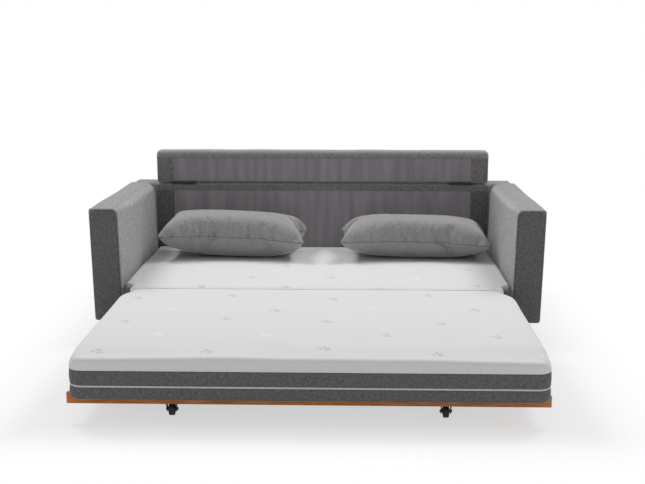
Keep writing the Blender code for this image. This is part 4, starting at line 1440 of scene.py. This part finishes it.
@dataclass
class FoldSheet:
    """The thin white cloth in the groove at the fold, which joins the two halves of the mattress."""

    thickness: float = 0.0012
    groove_angle: float = math.radians(24)
    roll_round: float = 0.060
    front_round: float = 0.016
    front_angle: float = math.radians(10)
    front_rise: float = 0.002
    roll_drop: float = 0.003
    blend_reach: float = 0.012
    slack: float = 0.0002
    slack_length: float = 0.4
    arc_count: int = 14
    across_step: float = 0.03

    def build(self) -> None:
        """Builds the cloth over the roll, through the groove and over the front section."""
        low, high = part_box("fold_cloth")
        groove = (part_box("mattress_roll")[0].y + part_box("mattress_front")[1].y) / 2
        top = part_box("mattress_seat")[1].z
        roll = np.array((groove + FIT / 2 + self.roll_round, top - self.roll_drop - self.roll_round))
        front = np.array((groove - FIT / 2 - self.front_round, top + self.front_rise - self.front_round))
        share = np.linspace(0, 1, self.arc_count + 1)
        first = math.pi / 2 + share * (math.pi / 2 - self.groove_angle)
        second = self.front_angle + share * (math.pi / 2 - self.front_angle)
        normal = [np.stack([np.cos(a), np.sin(a)], -1) for a in (first, second)]
        line = np.concatenate([roll + normal[0] * self.roll_round, front + normal[1] * self.front_round])
        out = np.concatenate(normal)
        across = np.linspace(low.x, high.x, math.ceil((high.x - low.x) / self.across_step) + 1)
        backwards = np.arange(len(line))[::-1].astype(float)
        lattice, faces = lattice_shell([across, backwards, np.array((0.0, 1.0))])
        index = lattice[:, 1].astype(int)
        lift = FIT + lattice[:, 2] * self.thickness
        points = np.column_stack([lattice[:, 0], line[index] + out[index] * lift[:, None]])
        points[:, 2] += ripples(points[:, :1], self.slack_length, self.slack, 71)
        piece = mesh_piece("fold_sheet", points, faces)
        fit_piece(piece, KNIT, None, Slot.KNIT, "fold_cloth")
        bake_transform(piece)


@dataclass
class Pillow:
    """A loose pillow: a flat sewn case, blown up by simulated filling and laid on the mattress."""

    label: str
    side: int
    from_middle: float
    width: float
    seam_height: float
    rise: float
    turn: float
    roll: float
    seed: int
    depth: float = 0.392
    press: float = 0.003
    fullness: float = 0.12
    set_back: float = 0.03
    place_y: float = 0.655
    tilt: float = math.radians(0.8)
    cell: float = 0.0075
    case_width: float = 0.86
    case_depth: float = 0.52
    ear: float = 0.045
    ear_cut_share: float = 0.2
    parting: float = 0.002
    quick_rise: float = 0.12
    ruffle: float = 0.0006
    frames: int = 32
    pressure: float = 7.0
    softness: float = 0.006
    shoulder: float = 1.5
    creases: int = 15
    crease_depth: float = 0.011
    crease_width: float = 0.0085
    crease_length: float = 0.055
    crease_start: float = 0.012
    head_drop: float = 0.007
    room_start: float = 0.812
    room_height: float = 0.445
    room_slope: float = 1.5
    ease_length: float = 0.05
    seam_radius: float = 0.0011
    pressed: float = 0.03

    def flat_case(self) -> tuple[Piece, np.ndarray]:
        """Two layers of cloth sewn at the rim, with the corners cut a little round.

        Returns:
            The case, and the numbers of its rim points in order.
        """
        columns, rows = round(self.case_width / self.cell), round(self.case_depth / self.cell)
        u, v = np.meshgrid(np.linspace(-1, 1, columns + 1), np.linspace(-1, 1, rows + 1), indexing="ij")
        rim = (np.abs(u) > 1 - 1e-9) | (np.abs(v) > 1 - 1e-9)
        x, y = u * self.case_width / 2, v * self.case_depth / 2
        half = np.array((self.case_width, self.case_depth))[:, None, None] / 2
        over = np.clip(np.abs(np.stack([x, y])) - half + self.ear, 0, None)
        cut = self.ear_cut_share * np.minimum(over[0], over[1])
        x, y = x - np.sign(x) * cut, y - np.sign(y) * cut
        lift = self.parting * (1 - u**2) * (1 - v**2)
        upper = np.arange((columns + 1) * (rows + 1)).reshape(columns + 1, rows + 1)
        lower = upper.copy()
        lower[~rim] = upper.size + np.arange((~rim).sum())
        top, bottom = np.stack([x, y, lift], -1).reshape(-1, 3), np.stack([x, y, -lift], -1)[~rim]
        quads = []
        for layer, flip in ((upper, False), (lower, True)):
            quad = [layer[:-1, :-1], layer[1:, :-1], layer[1:, 1:], layer[:-1, 1:]]
            quads.append(np.stack(quad[::-1] if flip else quad, -1).reshape(-1, 4))
        points = np.concatenate([top, bottom])
        piece = mesh_piece(f"{self.label}_pillow_case", points, np.concatenate(quads))
        ring = np.concatenate([upper[:, 0], upper[-1, 1:], upper[-2::-1, -1], upper[0, -2:0:-1]])
        return piece, ring

    def inflate(self, piece: Piece) -> None:
        """Args:
            piece: The flat case.
        """
        points = np.array([v.co for v in piece.data.vertices])
        chance = np.random.default_rng(self.seed)
        points[:, 2] += np.sign(points[:, 2]) * chance.uniform(0, self.ruffle, len(points))
        piece.data.vertices.foreach_set("co", points.ravel())
        use_alone(piece)
        cloth = piece.modifiers.new("filling", "CLOTH")
        weave = {
            "quality": 6,
            "mass": 0.2,
            "tension_stiffness": 30,
            "compression_stiffness": 12,
            "shear_stiffness": 8,
            "bending_stiffness": 0.12,
            "air_damping": 3,
            "use_pressure": True,
            "uniform_pressure_force": self.pressure,
        }
        for name, value in weave.items():
            setattr(cloth.settings, name, value)
        cloth.settings.effector_weights.gravity = 0
        cloth.collision_settings.use_collision = False
        cloth.point_cache.frame_start = 1
        cloth.point_cache.frame_end = self.frames
        for frame_number in range(1, self.frames + 1):
            bpy.context.scene.frame_set(frame_number)
        bpy.ops.object.modifier_apply(modifier=cloth.name)
        bpy.context.scene.frame_set(1)

    def floor(self, y: np.ndarray) -> np.ndarray:
        """The mattress under the pillow: the head section lies a little lower than the seat.

        Args:
            y: Places along the bed.

        Returns:
            The mattress's height at each place.
        """
        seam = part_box("mattress_head")[0].y
        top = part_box("mattress_seat")[1].z
        return top + 2 * FIT - self.head_drop * np.clip((y - seam) / self.ease_length, 0, 1)

    def gather(self, flat: np.ndarray) -> np.ndarray:
        """The puckers that the seam draws in the cloth on both sides of it.

        Args:
            flat: The case's points before it is blown up.

        Returns:
            How far each point moves inwards, across each direction of the plan.
        """
        inside = np.array((self.case_width, self.case_depth)) / 2 - np.abs(flat[:, :2])
        beside = inside[:, 0] < inside[:, 1]
        along = np.where(beside, flat[:, 1], flat[:, 0] * np.sign(-flat[:, 1]))
        away = inside.min(1)
        chance = np.random.default_rng(self.seed + 5)
        depth = np.zeros(len(flat))
        for place in chance.uniform(-0.48, 0.48, self.creases) * self.case_width:
            length = chance.uniform(0.5, 1.2) * self.crease_length
            near = np.exp(-(((along - place) / self.crease_width) ** 2) - (away / length) ** 2)
            depth += near * chance.uniform(0.4, 1.0)
        depth *= self.crease_depth * ease(away, 0.0, self.crease_start)
        return -np.sign(flat[:, :2]) * np.column_stack([beside, ~beside]) * depth[:, None]

    def lay(self, piece: Piece, flat: np.ndarray) -> None:
        """Brings the case to its size, turns it and presses its underside flat on the mattress.

        Its rear shoulder stays low enough for the panel to turn down over it.

        Args:
            piece: The blown-up case.
            flat: Its points before it was blown up.
        """
        points = np.empty(len(piece.data.vertices) * 3)
        piece.data.vertices.foreach_get("co", points)
        points = points.reshape(-1, 3)
        points -= (points.max(0) + points.min(0)) / 2
        half = (points.max(0) - points.min(0)) / 2
        points[:, 0] *= self.width / 2 / half[0]
        points[:, 1] *= self.depth / 2 / half[1]
        height = points[:, 2] / half[2]
        below = np.clip(-height, 0, 1)
        reach = np.abs(points[:, 0]) / (self.width / 2)
        spread = self.fullness * np.sin(math.pi * np.clip(reach, 0, 1) ** 1.2) * ease(below, 0.0, 0.3)
        points[:, 0] += np.sign(points[:, 0]) * spread * self.width / 2
        points[:, 1] += self.set_back * below
        shaped = np.tanh(self.shoulder * height) / math.tanh(self.shoulder)
        points[:, 2] = np.where(height > 0, shaped * self.rise, height * (self.seam_height + self.press))
        points[:, :2] += np.where(height > 0, 1, 0.4)[:, None] * self.gather(flat)
        lie = Matrix.Rotation(self.turn, 3, "Z") @ Matrix.Rotation(self.tilt, 3, "X")
        lie = np.array(lie @ Matrix.Rotation(self.roll, 3, "Y"))
        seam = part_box("mattress_head")[1].z + self.seam_height
        points = points @ lie.T + (self.side * self.from_middle, self.place_y, seam)
        floor = self.floor(points[:, 1])
        over = (points[:, 2] - floor) / self.softness
        points[:, 2] = floor + self.softness * np.logaddexp(0, over) * ease(over, -40, 4)
        points[:, 2] = np.maximum(points[:, 2], floor)
        room = self.room_height + self.room_slope * np.clip(self.room_start - points[:, 1], 0, None)
        points[:, 2] = room - self.softness * np.logaddexp(0, (room - points[:, 2]) / self.softness)
        piece.data.vertices.foreach_set("co", points.ravel())
        piece.data.update()

    def build(self) -> None:
        """Builds the pillow and a dark cord along its seam, as painted shadow in the seam groove."""
        piece, ring = self.flat_case()
        flat = np.array([v.co for v in piece.data.vertices])
        self.inflate(piece)
        self.lay(piece, flat)
        path = [tuple(piece.data.vertices[int(i)].co) for i in ring]
        apply_modifier(piece, "SUBSURF", levels=1, render_levels=1)
        piece.data.shade_smooth()
        seam = seam_tube(f"{self.label}_pillow_seam_shadow", path, self.seam_radius)
        fit_piece(piece, PILLOW_CLOTH, Body.SOFA, Slot.PILLOW, f"{self.label}_pillow", fill=0.7)
        # The seam's cord takes the shaded cloth: painted shadow in the seam groove.
        fit_piece(seam, SHADED_FRONT_CLOTH, Body.SOFA, Slot.PILLOW)
        floor = float(self.floor(np.array((self.place_y,)))[0])
        for soft in (piece, seam):
            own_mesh(soft)


@dataclass
class Timber:
    """The rails and slats of both combs, planed and with eased edges."""

    edge: float = 0.002
    moving: tuple[str, ...] = ("caster_rail", "pullout_rear_rail")
    stained: tuple[str, ...] = ("left_side_rail", "right_side_rail", "rear_rail")

    def build(self) -> None:
        """Planes a board for each rail and slat of the frame."""
        for name in sorted(frame["nodes"]):
            if "slat" not in name and "rail" not in name:
                continue
            low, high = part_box(name)
            place = {"size": 1, "location": (low + high) / 2, "scale": high - low}
            board = primitive(f"{name}_planed", bpy.ops.mesh.primitive_cube_add, **place)
            ease_edges(board, self.edge)
            moves = name in self.moving or name.startswith("pullout_slat")
            finish = STAINED_WOOD if name in self.stained else SLAT_WOOD
            fit_piece(board, finish, Body.PULLOUT if moves else Body.SOFA, Slot.SLAT_WOOD, name)


@dataclass
class Foot:
    """A turned plastic foot with a round lower edge and a narrow groove under its top."""

    node: str
    sides: int = 48
    edge: float = 0.003
    taper: float = 0.76
    groove: float = 0.0012
    groove_share: float = 0.16

    def build(self) -> None:
        """Turns the foot between its node's floor and top."""
        low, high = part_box(self.node)
        middle = (low + high) / 2
        radius, length = (high.x - low.x) / 2, high.z - low.z
        cone = {"vertices": self.sides, "radius1": radius * self.taper, "radius2": radius, "depth": length}
        add = bpy.ops.mesh.primitive_cone_add
        piece = primitive(f"{self.node}_turned", add, location=middle, **cone)
        for share, size in ((self.groove_share, 1 - self.groove / radius), (self.groove_share * 1.4, 1.0)):
            pick_faces(piece, lambda face: True)
            bpy.ops.mesh.bisect(plane_co=(middle.x, middle.y, high.z - share * length), plane_no=(0, 0, 1))
            bpy.ops.transform.resize(value=(size, size, 1), center_override=(middle.x, middle.y, high.z))
        bpy.ops.object.mode_set(mode="OBJECT")
        ease_edges(piece, self.edge, angle=1.0)
        fit_piece(piece, NYLON, Body.SOFA, Slot.PLASTIC, self.node)


@dataclass
class Caster:
    """A swivel caster: pressed fork, nylon wheel and the bolt through both."""

    label: str
    sides: int = 64
    tread_round: float = 0.004
    rim_width: float = 0.004
    dish: float = 0.003
    hub_radius: float = 0.010
    hub_out: float = 0.0035
    bore: float = 0.0034
    fork_edge: float = 0.0007
    hub_edge: float = 0.0008

    def shape_flank(self, piece: Piece, middle: Vector, radius: float, width: float, flank: int) -> None:
        """Dishes one flank of the wheel and raises its hub.

        Args:
            piece: The wheel.
            middle: Its middle.
            radius: Its radius.
            width: Its width between the flanks.
            flank: The flank's side, -1 or 1.
        """

        def on_flank(face: bpy.types.MeshPolygon) -> bool:
            """Whether a face is the flat disc of the flank."""
            return abs(face.normal.x) > 0.99 and flank * (face.center.x - middle.x) > width / 2 - 1e-5

        pick_faces(piece, on_flank)
        bpy.ops.mesh.inset(thickness=self.rim_width)
        bpy.ops.mesh.inset(thickness=self.dish)
        bpy.ops.transform.translate(value=(-flank * self.dish, 0, 0))
        bpy.ops.mesh.inset(thickness=radius - self.tread_round - self.rim_width - self.dish - self.hub_radius)
        out = (flank * (self.dish + self.hub_out), 0, 0)
        bpy.ops.mesh.extrude_region_move(TRANSFORM_OT_translate={"value": out})
        bpy.ops.mesh.inset(thickness=self.hub_radius - self.bore)
        back = (-flank * self.hub_out, 0, 0)
        bpy.ops.mesh.extrude_region_move(TRANSFORM_OT_translate={"value": back})

    def wheel(self) -> None:
        """Turns the wheel: round tread, dished flanks and a hub that stands proud."""
        low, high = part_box(f"{self.label}_caster_wheel")
        middle = (low + high) / 2
        radius = (high.z - low.z) / 2
        width = high.x - low.x - 2 * self.hub_out
        disc = {"vertices": self.sides, "radius": radius, "depth": width, "rotation": (0, math.pi / 2, 0)}
        add = bpy.ops.mesh.primitive_cylinder_add
        piece = primitive(f"{self.label}_wheel_turned", add, location=middle, **disc)
        limit = {"limit_method": "ANGLE", "angle_limit": 1.0}
        apply_modifier(piece, "BEVEL", width=self.tread_round, segments=5, **limit)
        for flank in SIDES.values():
            self.shape_flank(piece, middle, radius, width, flank)
        bpy.ops.object.mode_set(mode="OBJECT")
        ease_edges(piece, self.hub_edge, segments=2, angle=0.9)
        fit_piece(piece, NYLON, f"{self.label}_wheel", Slot.PLASTIC, f"{self.label}_caster_wheel")

    def fork(self) -> None:
        """Gives a copy of the fork's solid the small round edges of pressed steel."""
        node = frame["nodes"][f"{self.label}_caster_fork"]
        piece = node.copy()
        piece.data = node.data.copy()
        piece.name = f"{self.label}_fork_pressed"
        piece.parent = None
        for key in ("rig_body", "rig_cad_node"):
            if key in piece:
                del piece[key]
        bpy.context.scene.collection.objects.link(piece)
        use_alone(piece)
        bpy.ops.object.mode_set(mode="EDIT")
        bpy.ops.mesh.select_all(action="SELECT")
        bpy.ops.mesh.remove_doubles(threshold=1e-5)
        bpy.ops.mesh.dissolve_limited(angle_limit=math.radians(3))
        bpy.ops.object.mode_set(mode="OBJECT")
        ease_edges(piece, self.fork_edge, segments=2, angle=0.6)
        fit_piece(piece, ENAMEL, f"{self.label}_caster", Slot.METAL, f"{self.label}_caster_fork")

    def build(self) -> None:
        """Builds the wheel and the fork."""
        self.wheel()
        self.fork()


def dress_frame_nodes() -> None:
    """Gives each solid that stays in view its finish."""
    finishes = {
        "front_board": FRONT_WOOD,
        "hinge": ENAMEL,
        "caster_plate": ENAMEL,
        "caster_axle": ENAMEL,
        "hinge_pin": ZINC,
        "arm_board": PLYWOOD,
        "back_board": PLYWOOD,
        "panel_board": PLYWOOD,
    }
    for name, node in frame["nodes"].items():
        for words, finish in finishes.items():
            if words in name:
                for slot in node.material_slots:
                    slot.material = finish.material()


@dataclass
class Studio:
    """The photograph's camera, a plain pale floor and soft light."""

    place: tuple[float, float, float] = (0.153, -4.7492, 1.4265)
    down: float = 0.1956
    turn: float = 0.0264
    lens: float = 58.86
    white: str = "ffffff"
    floor_colour: str = "fbfbfb"
    sky: float = 0.44
    lamp_power: float = 84.0
    lamp_size: float = 1.6
    lamp_place: tuple[float, float, float] = (2.7, 1.4, 4.5)
    lamp_aim: tuple[float, float, float] = (0.0, 0.1, 0.3)
    floor_size: float = 60.0
    footprint: tuple[float, float] = (1.0, 1.05)
    shadow_reach: float = 0.42
    shadow_share: float = 0.6

    def camera(self) -> None:
        """Stands the camera where the photograph was taken from."""
        data = bpy.data.cameras.new("camera")
        data.lens = self.lens
        data.sensor_width = 36.0
        camera = new_object("camera", data)
        camera.location = self.place
        camera.rotation_euler = (math.pi / 2 - self.down, 0, self.turn)
        bpy.context.scene.camera = camera

    def seen_directly(self, tree: Tree) -> Node:
        """1 for what the camera, a reflection or clear material sees, and 0 for light on the object.

        Args:
            tree: The node tree of a material or the world.

        Returns:
            The node with that value.
        """
        path = add_node(tree, "LightPath").outputs
        rays = {0: path["Is Camera Ray"], 1: path["Is Glossy Ray"]}
        either = add_node(tree, "Math", rays, operation="MAXIMUM")
        return add_node(tree, "Math", {0: either, 1: path["Is Transmission Ray"]}, operation="MAXIMUM")

    def world(self) -> None:
        """A white background that lights the object only softly."""
        world = bpy.data.worlds.new("studio")
        world.use_nodes = True
        tree = world.node_tree
        tree.nodes.clear()
        white = linear(self.white)
        soft = add_node(tree, "Background", {"Color": white, "Strength": self.sky})
        shown = add_node(tree, "Background", {"Color": white, "Strength": 1.0})
        mix = add_node(tree, "MixShader", {0: self.seen_directly(tree), 1: soft, 2: shown})
        add_node(tree, "OutputWorld", {0: mix})
        bpy.context.scene.world = world

    def floor(self) -> None:
        """A white floor that keeps the object's shadow and fades into the background."""
        floor = primitive("studio_floor", bpy.ops.mesh.primitive_plane_add, size=self.floor_size)
        material = bpy.data.materials.new("studio_floor")
        material.use_nodes = True
        tree = material.node_tree
        tree.nodes.clear()
        place = add_node(tree, "TexCoord").outputs["Object"]
        far = add_node(tree, "VectorMath", {0: place}, operation="ABSOLUTE")
        far = add_node(tree, "VectorMath", {0: far, 1: (*self.footprint, 0.0)}, operation="SUBTRACT")
        far = add_node(tree, "VectorMath", {0: far, 1: (0.0, 0.0, 0.0)}, operation="MAXIMUM")
        far = add_node(tree, "VectorMath", {0: far}, operation="LENGTH")
        fade = {"Value": far, "From Max": self.shadow_reach, "To Min": self.shadow_share}
        fade = add_node(tree, "MapRange", fade, interpolation_type="SMOOTHSTEP")
        seen = add_node(tree, "Math", {0: self.seen_directly(tree), 1: fade}, operation="MULTIPLY")
        matt = add_node(tree, "BsdfDiffuse", {"Color": linear(self.floor_colour)})
        plain = add_node(tree, "Emission", {"Color": linear(self.white), "Strength": 1.0})
        mix = add_node(tree, "MixShader", {0: seen, 1: matt, 2: plain})
        add_node(tree, "OutputMaterial", {0: mix})
        floor.data.materials.append(material)

    def lamps(self) -> None:
        """Two softboxes, high at both sides and a little behind, which shade the bed beside its arms."""
        for label, side in SIDES.items():
            data = bpy.data.lights.new(f"{label}_softbox", "AREA")
            data.size = self.lamp_size
            data.energy = self.lamp_power
            lamp = new_object(f"{label}_softbox", data)
            lamp.location = (side * self.lamp_place[0], *self.lamp_place[1:])
            aim = Vector(self.lamp_aim) - lamp.location
            lamp.rotation_euler = aim.to_track_quat("-Z", "Y").to_euler()

    def build(self) -> None:
        """Sets up the camera, the background, the floor and the lamps."""
        self.camera()
        self.world()
        self.floor()
        self.lamps()
        bpy.context.scene.view_settings.view_transform = "Standard"


def main() -> None:
    """Builds each sub-assembly in turn."""
    Studio().build()
    for label, side in SIDES.items():
        Arm(label, side).build()
        BaseFront(label).build()
    LowBack("back", Body.SOFA, 0.016, 0.0155).build()
    FlipPanel("panel", Body.PANEL, 0.020, 0.019, crown=0.0045).build()
    Timber().build()
    for name in sorted(frame["nodes"]):
        if name.endswith("_foot"):
            Foot(name).build()
    for label in SIDES:
        Caster(label).build()
    RearMattress().build()
    FrontMattress().build()
    FoldSheet().build()
    Pillow("left", -1, 0.451, 0.748, 0.124, 0.110, math.radians(-0.1), math.radians(2.2), 81).build()
    Pillow("right", 1, 0.488, 0.763, 0.106, 0.111, math.radians(-0.3), math.radians(0.9), 82).build()
    dress_frame_nodes()


logging.basicConfig(level=logging.INFO, format="%(name)s: %(message)s")
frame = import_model()
if __name__ == "__main__":
    main()
